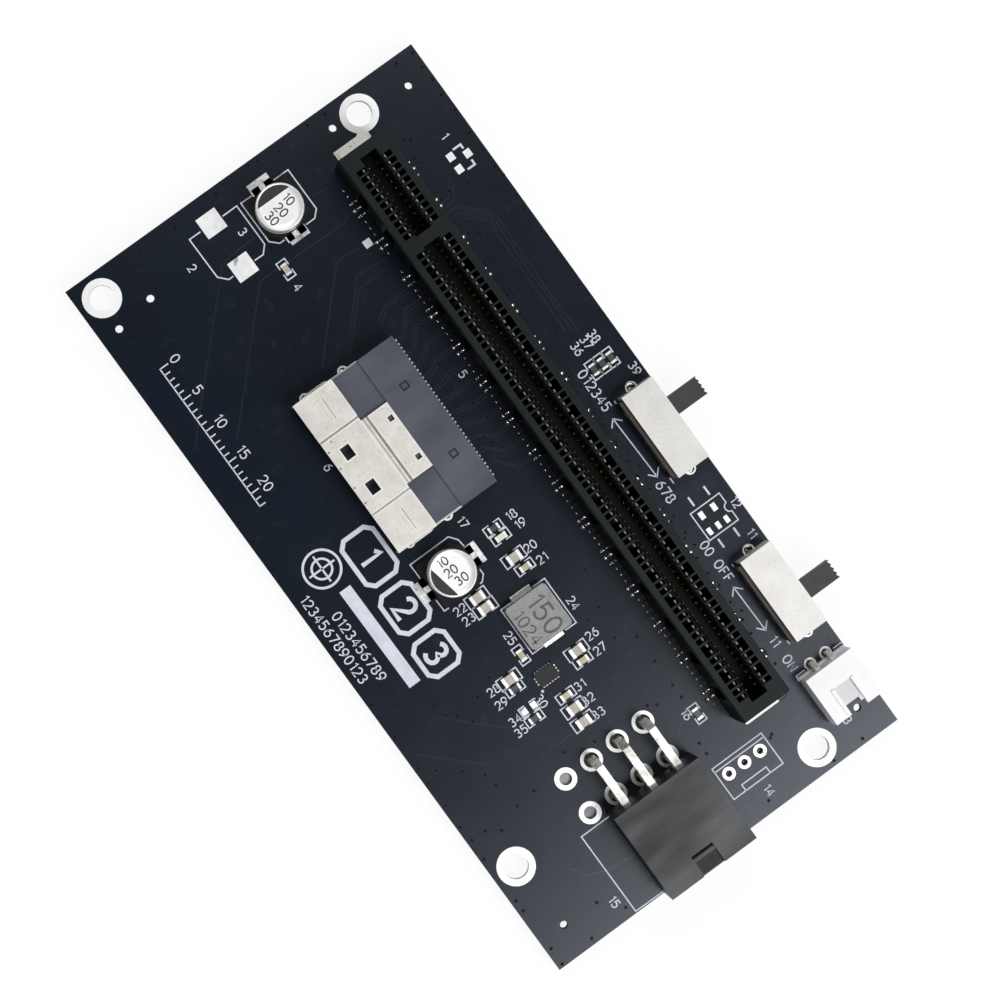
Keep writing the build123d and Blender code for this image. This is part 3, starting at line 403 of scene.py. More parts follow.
def lining(x, y, radius, low, high, sides):
    """Quads of a hole's plated wall, facing inwards: a ring of no width, its second circle lifted."""
    points, faces = flat_ring(x, y, radius, radius, low, sides)
    points[sides:, 2] = high / 1000
    return points, faces


screw_holes = [(0, 51.35), (0, -51.35), (-41.25, 51.35), (-41.25, -40.35)]
screw_bore, screw_land = 1.69, 2.6
land_lift = 0.03
wide_rings = []
for x, y in screw_holes:
    wide_rings.append(flat_ring(x, y, screw_bore, screw_land, top_mm + land_lift, 64))
    wide_rings.append(under(flat_ring(x, y, screw_bore, screw_land, -land_lift, 64)))
    wide_rings.append(lining(x, y, screw_bore, -land_lift, top_mm + land_lift, 64))
piece_from("screw_hole_lands", wide_rings, bright_tin)

power_columns = [-16.65, -20.85, -25.05]
spare_column = -29.25
power_rows = (-40.45, -34.95)
power_bore = 0.86
aux_pins = [(5.75, -41.9), (8.25, -41.9)]
footprint_holes = [(-11.45 + 2.54 * i, -47.2) for i in range(3)]
footprint_bore = 0.46
switch_middles = (-5.05, -31.5)
frame_leg_x, terminal_x, terminal_pitch = 7.95, 6.1, 4
port_mouth, port_middle = -29.7, 13.8
strap_x, strap_y = (2.1, 8.2), 11.575
soldered = [(x, y, power_bore, 1.52) for x in power_columns + [spare_column] for y in power_rows]
soldered += [(x, y, 0.46, 0.87) for x, y in aux_pins]
soldered += [(x, y, footprint_bore, 0.9) for x, y in footprint_holes]
soldered += [(frame_leg_x, y + s * 6.6, 0.61, 0.82) for y in switch_middles for s in (1, -1)]
soldered += [(terminal_x, y + terminal_pitch * i, 0.5, 0.75) for y in switch_middles for i in (-1, 0, 1)]
soldered += [(port_mouth + x, port_middle + s * strap_y, 0.48, 0.75) for x in strap_x for s in (1, -1)]
small_rings = []
for x, y, inner, outer in soldered:
    small_rings.append(flat_ring(x, y, inner, outer, top_mm + land_lift, 32))
    small_rings.append(under(flat_ring(x, y, inner, outer, -land_lift, 32)))
    small_rings.append(lining(x, y, inner, -land_lift, top_mm + land_lift, 24))
piece_from("soldered_ring_lands", small_rings, tin)


# Solder. Shallow cones of solder climb the headers' pins from both faces of the
# board, and the legs of the switches and of the port's shell from below.
def rings_round(x, y, half_x, half_y, heights, sides, pole=None):
    """Quads round an upright axis, from rings of given half widths and heights in mm.

    Where a pole's height is given, a fan closes the last ring at one point there.
    """
    angle = np.linspace(0, 2 * pi, sides, endpoint=False)
    points = np.stack([x + half_x[:, None] * np.cos(angle), y + half_y[:, None] * np.sin(angle),
                       np.repeat(heights[:, None], sides, 1)], -1).reshape(-1, 3)
    last = (len(heights) - 1) * sides
    sectors = [(i, (i + 1) % sides) for i in range(sides)]
    faces = [[k + i, k + j, k + sides + j, k + sides + i] for k in range(0, last, sides) for i, j in sectors]
    if pole is not None:
        points = np.vstack([points, [[x, y, pole]]])
        faces += [[last + i, last + j, last + sides] for i, j in sectors]
    return points / 1000, faces


def fillet(x, y, foot, neck, rise, base, down=False):
    """A solder collar: its radius falls from foot to neck as its height rises.

    With t from 0 to 1 the radius is neck + (foot - neck)(1 - t) squared and the
    height is base plus rise times t, so the profile is concave like wetted metal.
    """
    t = np.linspace(0, 1, 7)
    radius = neck + (foot - neck) * (1 - t) ** 2
    points, faces = rings_round(x, y, radius, radius, base + (-rise if down else rise) * t, 20)
    return points, [face[::-1] for face in faces] if down else faces


def blob(x, y, half_x, half_y, rise, base, sides, rings):
    """The upper half of an ellipsoid on a level base: a bead of solder.

    At a rise of angle b from rim to pole the half widths shrink by cos b and
    the height is the whole rise times sin b; one point closes the pole.
    """
    b = np.linspace(0, pi / 2, rings, endpoint=False)
    shrink, heights = np.cos(b), base + rise * np.sin(b)
    return rings_round(x, y, half_x * shrink, half_y * shrink, heights, sides, base + rise)


collars, wells = [], []
solder_lift = land_lift + 0.001
underside_share = 1.6
pins = [(x, y, 1.3, 0.62, 0.5) for x in power_columns for y in power_rows]
pins += [(x, y, 0.72, 0.4, 0.3) for x, y in aux_pins]
for x, y, foot, neck, rise in pins:
    wells.append(fillet(x, y, foot * 0.8, neck, rise * 0.7, top_mm + solder_lift))
    collars.append(fillet(x, y, foot, neck, rise * underside_share, -solder_lift, down=True))
legs = [(frame_leg_x, y + s * 6.225, 0.75, 0.3, 0.45) for y in switch_middles for s in (1, -1)]
legs += [(terminal_x, y + terminal_pitch * i, 0.72, 0.3, 0.5) for y in switch_middles for i in (-1, 0, 1)]
legs += [(port_mouth + x, port_middle + s * strap_y, 0.72, 0.3, 0.4) for x in strap_x for s in (1, -1)]
for x, y, foot, neck, rise in legs:
    collars.append(fillet(x, y, foot, neck, rise * underside_share, -solder_lift, down=True))
solder = finish("solder", (0.7, 0.7, 0.69), (0.92, 0.92, 0.9), 900, 0.2, 0.1, metallic=0.9,
                bump=0.00003, bump_scale=1100)
piece_from("solder_collars", collars, solder, smooth=True)
# Painted reflection: the cones on the top face are dark grey, standing in for the dark surroundings mirrored
# in the solder.
well_painted_dark = finish("solder_well_painted_reflection", (0.1, 0.1, 0.09), (0.3, 0.3, 0.27), 1100, 0.16, 0.1, metallic=0.95,
                   bump=0.00004, bump_scale=1500)
piece_from("solder_well_painted_reflections", wells, well_painted_dark, smooth=True)

# Empty holes. Grey discs inside the two spare power holes and discs of mask inside the
# three holes of the empty footprint are painted shade: they darken the holes' insides.
spare_hole_shade = finish("spare_hole_shade", (0.14, 0.145, 0.155), (0.26, 0.265, 0.28), 700, 0.35, 0.1, metallic=0.5)
spare_shade_discs = [flat_disc(spare_column, y, power_bore, 0.7, 28) for y in power_rows]
spare_shade_discs += [under(flat_disc(spare_column, y, power_bore, 0.12, 28)) for y in power_rows]
piece_from("spare_hole_shade_discs", spare_shade_discs, spare_hole_shade)
# Painted shade: discs of mask that stand in for the shade inside the footprint's holes.
hole_shade_sheets = [flat_disc(x, y, footprint_bore, 0.35, 20) for x, y in footprint_holes]
hole_shade_sheets += [under(flat_disc(x, y, footprint_bore, 0.05, 20)) for x, y in footprint_holes]
piece_from("footprint_hole_painted_shade", hole_shade_sheets, solder_mask)


# White legend. Printed epoxy ink: outlines round the parts, place numbers, a printed
# scale in millimetres, and the arrows, numbers and words beside the two switches.
def arc(x, y, rx, ry, start, stop, steps):
    """Points round an ellipse about (x, y), from one angle to another in degrees."""
    angle = np.radians(np.linspace(start, stop, steps))
    return list(zip(x + rx * np.cos(angle), y + ry * np.sin(angle)))


six = [(0.5, 1.0), (0.22, 0.78), (0.05, 0.5)] + arc(0.3, 0.3, 0.3, 0.3, 160, -200, 17)
pen_strokes = {
    "0": [arc(0.3, 0.5, 0.3, 0.5, 0, 360, 21)],
    "1": [[(0.1, 0.8), (0.32, 1.0), (0.32, 0.0)]],
    "2": [arc(0.3, 0.7, 0.29, 0.3, 165, -38, 10) + [(0.0, 0.0), (0.6, 0.0)]],
    "3": [arc(0.28, 0.76, 0.26, 0.24, 150, -90, 9) + arc(0.28, 0.26, 0.3, 0.26, 90, -150, 10)[1:]],
    "4": [[(0.45, 0.0), (0.45, 1.0), (0.0, 0.3), (0.62, 0.3)]],
    "5": [[(0.55, 1.0), (0.08, 1.0), (0.05, 0.56)] + arc(0.27, 0.32, 0.31, 0.32, 128, -145, 11)],
    "6": [six],
    "7": [[(0.0, 1.0), (0.6, 1.0), (0.2, 0.0)]],
    "8": [arc(0.3, 0.76, 0.25, 0.24, -90, 270, 15), arc(0.3, 0.26, 0.3, 0.26, 90, -270, 17)],
    "9": [[(0.6 - x, 1.0 - y) for x, y in six]],
    "O": [arc(0.36, 0.5, 0.36, 0.5, 0, 360, 23)],
    "N": [[(0.0, 0.0), (0.0, 1.0), (0.62, 0.0), (0.62, 1.0)]],
    "F": [[(0.0, 0.0), (0.0, 1.0), (0.55, 1.0)], [(0.0, 0.52), (0.42, 0.52)]],
}
pen_steps = {"1": 0.62, "O": 1.0, "N": 0.92}


def written(text, x, y, size, angle, height, weight):
    """Stripes of a text in single pen strokes, centred on (x, y) in mm and turned in degrees."""
    steps = [pen_steps.get(letter, 0.86) for letter in text]
    start = np.concatenate([[0], np.cumsum(steps)[:-1]]) - (sum(steps) - 0.26) / 2
    c, s = np.cos(radians(angle)), np.sin(radians(angle))
    found = []
    for letter, along in zip(text, start):
        for stroke in pen_strokes[letter]:
            flat = (np.asarray(stroke) + (along, -0.5)) * size
            turned = np.column_stack([flat[:, 0] * c - flat[:, 1] * s + x,
                                      flat[:, 0] * s + flat[:, 1] * c + y])
            found.append(stripe(turned, weight * size, height))
    return found


ink_z = top_mm + 0.02
ink_lines = [
    [(-17.64, 50.8), (-19.41, 50.84), (-19.39, 44.69), (-18.35, 43.68), (-17.6, 43.68)],
    [(-14.19, 50.81), (-11.86, 50.81), (-11.84, 44.56), (-12.75, 43.68), (-14.14, 43.66)],
    [(-25.85, 50.9), (-27.61, 50.9), (-27.54, 44.85), (-26.5, 43.72), (-25.8, 43.75)],
    [(-22.32, 50.86), (-20.05, 50.88), (-20.02, 44.77), (-20.97, 43.75), (-22.34, 43.78)],
    [(-29.24, -2.4), (-29.27, -0.2), (-23.06, -0.18), (-22.24, -1.26), (-22.1, -2.38)],
    [(-22.2, -6.0), (-22.22, -6.86), (-22.97, -7.6), (-23.3, -7.6)],
    [(-29.22, -5.94), (-29.18, -7.74), (-28.45, -7.76)],
    [(-17.94, -12.0), (-16.05, -12.02), (-16.07, -19.17), (-17.82, -19.15)],
    [(-21.2, -19.1), (-23.15, -19.12), (-23.12, -12.0), (-21.4, -12.0)],
    [(9.2, -18.06), (9.2, -16.55), (4.48, -16.55), (4.5, -20.88), (9.2, -20.88), (9.2, -19.44),
     (8.75, -19.2), (8.62, -18.75), (8.75, -18.3), (9.2, -18.06)],
    [(-12.94, -45.4), (-4.88, -45.4), (-4.86, -50.35), (-6.96, -50.35), (-6.96, -49.4), (-10.96, -49.4),
     (-10.96, -50.35), (-12.92, -50.35), (-12.94, -45.4)],
    [(-12.94, -46.0), (-4.88, -46.0)],
    [(-10.96, -50.35), (-6.96, -50.35)],
    [(-27.5, -42.32), (-32.06, -42.32), (-32.04, -54.5), (-27.3, -54.55)],
    [(3.2, -42.9), (3.3, -42.1), (4.7, -42.1)],
    [(9.4, -42.05), (10.75, -42.05)],
    [(5.08, 1.4), (5.08, -4.1)],
    [(5.08, -7.9), (5.08, -10.0)],
    [(5.08, -11.0), (5.08, -12.0)],
    [(5.08, -25.1), (5.08, -26.1)],
    [(5.08, -26.9), (5.08, -29.0)],
    [(5.08, -33.6), (5.08, -36.8)],
    [(5.08, -37.5), (5.08, -38.2)],
]
for x0, y0, x1, y1 in ((3.55, -0.39, 3.81, -10.0), (3.45, -27.7, 3.58, -34.8)):
    ink_lines += [[(x0, y0), (x1, y1)], [(x0 + 0.9, y0 - 0.95), (x0, y0), (x0 - 0.85, y0 - 0.95)],
                  [(x1 + 0.9, y1 + 0.95), (x1, y1), (x1 - 0.85, y1 + 0.95)]]
thick_lines = [[(x, y), (x, y - 1.4)] for x in (8.06, 5.53) for y in (-14.6, -21.35)]
thick_lines += [[(7.18, 40.4), (8.4, 40.4), (8.4, 39.75)], [(8.42, 37.95), (8.42, 37.2), (7.26, 37.2)]]


def brackets(x, y, upright, half_length, half_width, gap):
    """Two square brackets round a small part, open at its middle."""
    found = []
    for side in (1, -1):
        run = [(side * gap, half_width), (side * half_length, half_width), (side * half_length, -half_width),
               (side * gap, -half_width)]
        found.append([(x + (b if upright else a), y + (a if upright else b)) for a, b in run])
    return found


small_parts = [
    (-19.7, 40.45, 1), (-17.25, -9.3, 0), (-24.45, -18.35, 1), (-18.3, -23.65, 0), (-22.8, -26.1, 0),
    (-17.6, -2.75, 0), (-27.7, -21.4, 0), (-27.9, -26.1, 0), (8.05, 6.3, 1), (6.65, 6.3, 1), (5.3, 6.3, 1),
    (-10.2, -38.3, 1), (-17.5, -4.25, 0), (-27.7, -24.6, 0),
]
large_parts = [
    (-17.7, -7.4, 0), (-24.7, -8.85, 0), (-24.6, -10.55, 0), (-18.2, -22.15, 0), (-27.6, -20.0, 0),
    (-22.9, -28.05, 0), (-22.95, -30.2, 0),
]
for x, y, upright in small_parts:
    ink_lines += brackets(x, y, upright, 1.3, 0.66, 0.35)
for x, y, upright in large_parts:
    ink_lines += brackets(x, y, upright, 1.6, 0.82, 0.45)
scale_x, scale_zero, scale_length = -40.6, 39.5, 22
for y in np.arange(0, scale_length + 0.1, 1.0):
    ink_lines.append([(scale_x, scale_zero - y), (scale_x + (0.9 if y % 5 else 1.3), scale_zero - y)])
ink_lines.append([(scale_x, scale_zero + 0.05), (scale_x, scale_zero - scale_length - 0.05)])
ink = finish("legend_ink", (0.6, 0.63, 0.72), (0.72, 0.75, 0.84), 700, 0.6, 0.06, bump=0.000004,
             bump_scale=2500, sheen=0.3, fleck=(0.48, 0.5, 0.58), fleck_share=0.66, fleck_scale=5200)
dots = [flat_disc(-24.95, -23.85, 0.2, ink_z, 16), flat_disc(8.1, 5.0, 0.16, ink_z, 12)]
drawn = [stripe(p, 0.17, ink_z) for p in ink_lines] + [stripe(p, 0.28, ink_z) for p in thick_lines]
piece_from("legend_lines", drawn + dots, ink)

place_numbers = [
    ("1", 7.40, 42.46, -90), ("2", -29.5, 47.7, -90), ("3", -21.4, 47.7, -90), ("4", -19.8, 37.7, -90),
    ("5", -9.0, 15.9, -90), ("6", -30.4, 16.4, -90), ("39", 9.8, 3.3, -90), ("36", 5.1, 9.8, -90),
    ("37", 6.6, 9.8, -90), ("38", 7.9, 9.85, -90), ("11", 9.6, -23.4, -90), ("12", 10.3, -18.8, -90),
    ("13", 5.4, -50.5, -90), ("14", -8.45, -52.1, -90), ("15", -33.6, -51.8, -90), ("16", -11.4, -37.5, -90),
    ("17", -20.4, 0.25, -90), ("18", -14.7, -2.7, 0), ("19", -14.4, -4.3, 0), ("20", -15.1, -7.5, 0),
    ("21", -14.75, -9.7, 0), ("22", -27.45, -8.8, 0), ("23", -27.25, -10.5, 0), ("24", -14.9, -16.85, -90),
    ("25", -24.3, -15.7, -90), ("26", -15.3, -21.6, 0), ("27", -15.6, -23.8, 0), ("28", -30.1, -19.95, 0),
    ("29", -30.25, -21.95, 0), ("30", -25.85, -24.8, -90), ("31", -20.5, -26.1, 0), ("32", -20.7, -28.2, 0),
    ("33", -20.7, -30.5, 0), ("34", -30.1, -24.8, 0), ("35", -30.3, -26.4, 0),
]
numbers = []
for text, x, y, angle in place_numbers:
    numbers += written(text, x, y, 1.12, angle, ink_z, 0.15)
for mark in (0, 5, 10, 15, 20):
    numbers += written(str(mark), scale_x + 2.4, scale_zero - mark, 1.3, -90, ink_z, 0.13)
switch_words = [
    ("012345", 3.78, 4.02, 1.3, 0.14), ("678", 3.58, -12.25, 1.3, 0.14), ("00", 3.62, -21.5, 1.25, 0.14),
    ("OFF", 3.67, -25.2, 1.25, 0.15), ("11", 3.71, -36.7, 1.25, 0.14), ("ON", 3.66, -40.2, 1.25, 0.15),
]
for text, x, y, size, weight in switch_words:
    numbers += written(text, x, y, size, -90, ink_z, weight)
piece_from("legend_numbers", numbers, ink)

# Printed block. A registration target, three numbered boxes, a solid bar and two
# rows of digits, in the same ink as the legend.
target_x, target_y, arm = -38.87, 6.15, 2.0
block = [flat_ring(target_x, target_y, 2.35, 2.68, ink_z, 48),
         flat_ring(target_x, target_y, 1.2, 1.5, ink_z, 32),
         stripe([(target_x - arm, target_y), (target_x + arm, target_y)], 0.26, ink_z + 0.001),
         stripe([(target_x, target_y - arm), (target_x, target_y + arm)], 0.26, ink_z + 0.001)]
numbered_boxes = [(-32.9, 7.4, 0.2), (-33.1, -1.4, -7.4), (-33.3, -9.0, -14.2)]
box_half, box_cut = 2.5, 0.9
for number, (x, high_y, low_y) in enumerate(numbered_boxes, 1):
    near, far = box_half - box_cut, box_half
    corners = [(x - near, high_y), (x + near, high_y), (x + far, high_y - box_cut),
               (x + far, low_y + box_cut), (x + near, low_y), (x - near, low_y),
               (x - far, low_y + box_cut), (x - far, high_y - box_cut)]
    block.append(stripe(corners + corners[:1], 0.62, ink_z))
    block += written(str(number), x, (high_y + low_y) / 2, 3.0, -90, ink_z, 0.2)
block.append(stripe([(-38.0, 2.3), (-37.9, -13.2)], 1.75, ink_z))
block += written("0123456789", -40.9, -4.9, 1.3, -90, ink_z, 0.14)
block += written("1234567890123", -43.0, -2.2, 1.3, -90, ink_z, 0.14)
piece_from("legend_block", block, ink)

# Bare lands. Flat tinned copper where no part is fitted, and the lands under the
# capacitors' leads and the slot's end tabs.
bare_tin = finish("bare_land_tin", (0.78, 0.78, 0.79), (0.92, 0.92, 0.93), 420, 0.36, 0.12, metallic=0.4,
                  bump=0.00004, bump_scale=600, fleck=(0.36, 0.37, 0.43), fleck_share=0.6, fleck_scale=480)
dress("bare_lands", bare_tin)

# Card slot. A long moulding in glass-filled nylon, near black with a green cast, with
# painted shade that darkens it down its walls and in the card gap. Its two rows of sprung
# contacts are gold at the bend and tinned at the tips, with painted shade darkening them
# below the bend towards the toes.
slot_nylon_painted_shade = finish("slot_nylon_painted_shade", (0.0055, 0.009, 0.0092), (0.009, 0.0135, 0.0135), 150, 0.42, 0.06,
                    bump=0.000008, bump_scale=3500, sheen=0.13, fleck=(0.016, 0.021, 0.021), fleck_share=0.68,
                    fleck_scale=4200, stretch=(1, 0.35, 1))


def by_height(material, low, high, colour, above=False):
    """Turns a finish to a colour below a rise from low to high, in metres, or above it."""
    tree, shader, plain = shader_of(material)
    share = climb(tree, z_of(tree, "TexCoord", "Object"), low, high)
    ends = (plain, (*colour, 1)) if above else ((*colour, 1), plain)
    tree.links.new(mixed(tree, share, *ends), shader.inputs["Base Color"])


# Painted shade: the nylon turns darker below 12.2 mm, down its outer walls and into the card gap.
by_height(slot_nylon_painted_shade, 0.0122, 0.01265, (0.0042, 0.0056, 0.0055))
dress("slot_housing", slot_nylon_painted_shade)
rim_shade = finish("slot_rim_shade", (0.0025, 0.003, 0.003), (0.005, 0.006, 0.006), 600, 0.5, sheen=0.15)
slot_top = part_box("slot_housing")[1].z * 1000
rim_path = [(-0.15, 46.9), (-0.15, -41.3)] + arc(-0.55, -41.5, 0.4, 0.4, 20, -80, 6)
rim_path += [(-1.0, -41.9), (-5.7, -41.9)]
piece_from("slot_rim_line", [stripe(rim_path, 0.09, slot_top + 0.005)], rim_shade)
spring_gold_painted_shade = finish("spring_gold_painted_shade", (0.3, 0.16, 0.035), (0.5, 0.29, 0.07), 900, 0.3, 0.06, metallic=1)
# Painted shade: below 8.5 mm the springs turn near black, down into the shade of the wall and gap.
by_height(spring_gold_painted_shade, 0.0085, 0.009, (0.03, 0.026, 0.02))
by_height(spring_gold_painted_shade, 0.01185, 0.01195, (0.95, 0.95, 0.93), above=True)
dress("slot_contacts_left", spring_gold_painted_shade)
dress("slot_contacts_right", spring_gold_painted_shade)

# Contact bends. The gold-plated crown of each spring, where it touches a card's
# edge, stands into the gap on both sides.
slot_x, slot_y = -3.2, 2.9
contact_count, key_after, key_width = 82, 11, 2
contact_y = [slot_y + 41.5 - n for n in range(key_after)]
contact_y += [slot_y + 41.5 - n - key_width for n in range(key_after, contact_count)]
crown_gold = finish("crown_gold", (0.42, 0.22, 0.04), (0.62, 0.36, 0.09), 600, 0.3, 0.08, metallic=1)
crowns = [blob(slot_x + side * 0.68, y, 0.12, 0.16, 0.14, top_mm + 7.8, 8, 3)
          for side in (1, -1) for y in contact_y]
piece_from("contact_crowns", crowns, crown_gold, smooth=True)

# Toe solder. Each contact ends in a toe soldered to the board beside the wall. It
# shows as a bright speck, and under a notch in the wall as a whole soldered tail.
notches = [slot_y + 38.5 - 5.6 * i for i in range(15)]
notch_half, clear_half = 1.05, 0.72
beads = []
for side in (1, -1):
    for y in contact_y:
        off = min(abs(y - n) for n in notches)
        beads.append(blob(slot_x + side * 4.42, y, 0.13, 0.24, 0.14, top_mm + 0.02, 8, 3))
        if off < notch_half:
            full = 1.0 if off < clear_half else 0.62
            beads.append(blob(slot_x + side * 3.85, y, 0.62 * full, 0.2 * full, 0.3, top_mm + 0.02, 12, 4))
            beads.append(blob(slot_x + side * 4.75, y, 0.42 * full, 0.3 * full, 0.36, top_mm + 0.02, 12, 4))
toe_tin = finish("toe_solder", (0.86, 0.86, 0.85), (0.98, 0.98, 0.97), 1500, 0.18, 0.08, metallic=1,
                 bump=0.00002, bump_scale=2600)
piece_from("toe_beads", beads, toe_tin, smooth=True)

# Hold-downs. Folded tabs at each end of the slot stand in a bar of solder. At the
# far end a neck of copper joins the bar to the screw hole's land.
tinned_strip = finish("tinned_strip", (0.78, 0.78, 0.77), (0.93, 0.93, 0.9), 500, 0.26, 0.08, metallic=0.85,
                      bump=0.000012, bump_scale=900)


def pad(edge_points, low, high):
    """A thin slab inside a line of edge points, from a low to a high face, in mm."""
    flat = np.asarray(edge_points, float)
    count = len(flat)
    points = np.vstack([np.column_stack([flat, np.full(count, z)]) for z in (low, high)]) / 1000
    rim = [[i, (i + 1) % count, (i + 1) % count + count, i + count] for i in range(count)]
    return points, [list(range(count, 2 * count)), list(range(count))[::-1]] + rim


far_bar = [(-5.74, 49.13), (-5.72, 48.0), (-0.46, 48.0), (-0.44, 48.85), (-0.75, 49.0)]
far_bar += arc(-0.35, 49.6, 0.55, 0.55, 230, 165, 5)
far_bar += [(-1.55, 49.6)] + arc(-2.3, 49.75, 0.62, 0.62, 0, -88, 6)
bar_cream = finish("hold_down_solder", (0.86, 0.84, 0.78), (0.95, 0.94, 0.9), 420, 0.4, 0.1, metallic=0.1,
                   bump=0.00002, bump_scale=700)
dress("slot_hold_downs", bar_cream)
near_bar = [(-5.58, -43.1), (-5.58, -43.42), (-0.47, -43.48), (-0.47, -43.16)]
bars = [pad(far_bar, top_mm + 0.01, top_mm + 0.06), pad(near_bar, top_mm + 0.01, top_mm + 0.09)]
piece_from("hold_down_solder", bars, bar_cream)
tab_shade = finish("tab_shade", (0.03, 0.03, 0.03), (0.09, 0.085, 0.08), 900, 0.5)
tab_lines = []
for x0, x1 in ((-5.1, -3.45), (-2.7, -1.15)):
    tab_lines.append([(x0, 48.02), (x0, 48.35)] + arc(x0 + 0.25, 48.38, 0.25, 0.25, 180, 90, 5)
                     + [(x1 - 0.2, 48.63)] + arc(x1 - 0.2, 48.43, 0.2, 0.2, 80, 0, 4))
tab_lines.append([(-3.45, 48.43), (-3.05, 48.3), (-2.7, 48.4)])
piece_from("hold_down_tab_shade", [stripe(t, 0.11, top_mm + 0.068) for t in tab_lines], tab_shade)

# Cable port. A stamped shell of nickel-plated steel, satin and warm grey, with painted
# highlights along its folds and pressed ribs and painted shade in its grooves, over an
# insulator moulded in slate-coloured plastic, with painted shade marks on its top, and
# a row of solder tails.
shell_nickel = finish("shell_nickel", (0.6, 0.585, 0.54), (0.71, 0.695, 0.65), 420, 0.4, 0.08, metallic=0.35,
                      bump=0.000004, bump_scale=2600, fleck=(0.52, 0.505, 0.465), fleck_share=0.62,
                      fleck_scale=4600)
dress("port_shell", shell_nickel)
side_z, mid_z, tongue_z = top_mm + 5.412, top_mm + 5.662, top_mm + 5.462


def outline(x0, x1, y0, y1, width, height):
    """A closed stripe along a rectangle's four sides."""
    return stripe([(x0, y1), (x1, y1), (x1, y0), (x0, y0), (x0, y1)], width, height)


fold_x, lip_x, rib_x = -23.65, -29.5, -26.5
rib_offset, window_offset, hole_offset = 8.75, 2.75, 3.03
# Painted highlights: bright stripes along the shell's folds, ribs, windows and holes.
painted_highlight_lines = [stripe(line, 0.1, side_z) for line in (
    [(lip_x, 25.22), (fold_x, 25.22), (fold_x, 19.75)], [(lip_x, 2.38), (fold_x, 2.38), (fold_x, 7.85)],
    [(lip_x, 19.75), (fold_x, 19.75)], [(lip_x, 7.85), (fold_x, 7.85)])]
for y in (port_middle + rib_offset, port_middle - rib_offset):
    rib = arc(rib_x, y + 1.45, 0.32, 0.32, 0, 180, 7) + arc(rib_x, y - 1.45, 0.32, 0.32, 180, 360, 7)
    painted_highlight_lines.append(stripe(rib + rib[:1], 0.1, side_z))
for y in (19.26, 8.34):
    painted_highlight_lines.append(stripe([(lip_x, y), (-23.75, y)], 0.12, mid_z))
painted_highlight_lines.append(stripe([(-23.72, 19.2), (-23.72, 8.4)], 0.13, mid_z))
for y in (port_middle + window_offset, port_middle - window_offset):
    painted_highlight_lines.append(outline(-28.2, -26.6, y - 1.02, y + 1.02, 0.15, mid_z))
painted_highlight_lines.append(outline(-22.5, -19.66, 8.88, 18.72, 0.1, tongue_z))
for y in (port_middle + hole_offset, port_middle - hole_offset):
    painted_highlight_lines.append(outline(-20.75, -19.87, y - 0.44, y + 0.44, 0.12, tongue_z + 0.001))
painted_edge_highlight = finish("shell_painted_highlight", (0.8, 0.785, 0.75), (0.9, 0.89, 0.85), 900, 0.35, metallic=0.2)
piece_from("port_shell_painted_highlights", painted_highlight_lines, painted_edge_highlight)
# Painted shade: dark stripes in the grooves beside the ribs and folds, and dark dots near the lip.
shade_marks = [stripe([(-22.78, 18.8), (-22.78, 8.8)], 0.16, tongue_z)]
for high_y, low_y in ((24.1, 21.0), (6.6, 3.5)):
    shade_marks.append(stripe([(rib_x + 0.45, high_y), (rib_x + 0.45, low_y)], 0.1, side_z))
for y in (19.48, 8.12):
    shade_marks.append(stripe([(lip_x, y), (-23.7, y)], 0.08, side_z + 0.14))
shade_marks += [flat_disc(-29.42, y, 0.15, mid_z, 12) for y in (17.9, 15.35, 12.3, 9.9)]
shade_marks.append(flat_disc(-28.35, 18.9, 0.13, mid_z, 12))
painted_groove_shade = finish("shell_painted_groove_shade", (0.16, 0.155, 0.15), (0.26, 0.25, 0.24), 900, 0.4, metallic=0.2)
piece_from("port_shell_painted_groove_shades", shade_marks, painted_groove_shade)
port_slate = finish("port_slate", (0.05, 0.055, 0.078), (0.1, 0.105, 0.135), 170, 0.5, 0.06,
                    bump=0.000006, bump_scale=3000, sheen=0.3, stretch=(0.5, 1, 1))
dress("port_insulator", port_slate)
slate_z = top_mm + 5.31
# Painted shade: dark outlines round two small squares and one dark dot on the insulator's top.
insulator_shade_marks = [outline(-16.87, -15.93, y - 0.47, y + 0.47, 0.15, slate_z) for y in (19.2, 8.4)]
insulator_shade_marks.append(flat_disc(-15.47, 19.12, 0.1, slate_z, 10))
slate_shade = finish("slate_shade", (0.006, 0.006, 0.01), (0.015, 0.016, 0.022), 900, 0.5, sheen=0.15)
piece_from("port_insulator_painted_shade", insulator_shade_marks, slate_shade)
tail_solder = finish("tail_solder", (0.2, 0.2, 0.2), (0.5, 0.5, 0.49), 1900, 0.4, 0.1, metallic=0.4)
dress("port_solder_tails", tail_solder)

# Power header. Six cells moulded in black plastic with a satin, cloudy skin, partly
# painted sheen, painted shade on its sideways faces and in its latch notch, and six
# square tinned pins bent down into the board.
# The cloudy drift, stretched across the board, is partly the plastic's own mottling and partly painted sheen.
header_black_painted_shade_and_sheen = finish("header_black_painted_shade_and_sheen", (0.006, 0.007, 0.009), (0.088, 0.09, 0.096), 210, 0.4, 0.12,
                      bump=0.000006, bump_scale=900, sheen=0.25, stretch=(0.4, 1.3, 1))


def dark_sides(material, side_shade):
    """Paints shade on a finish: the faces that look sideways or down turn to one darker colour."""
    tree, shader, level = shader_of(material)
    z = z_of(tree, "NewGeometry", "Normal")
    not_level = add_node(tree, "Math", {0: z, 1: 0.5}, operation="LESS_THAN").outputs[0]
    tree.links.new(mixed(tree, not_level, level, (*side_shade, 1)), shader.inputs["Base Color"])


def block_pad(x0, x1, y0, y1, low, high):
    """A thin slab with four corners, in mm."""
    return pad([(x0, y0), (x1, y0), (x1, y1), (x0, y1)], low, high)


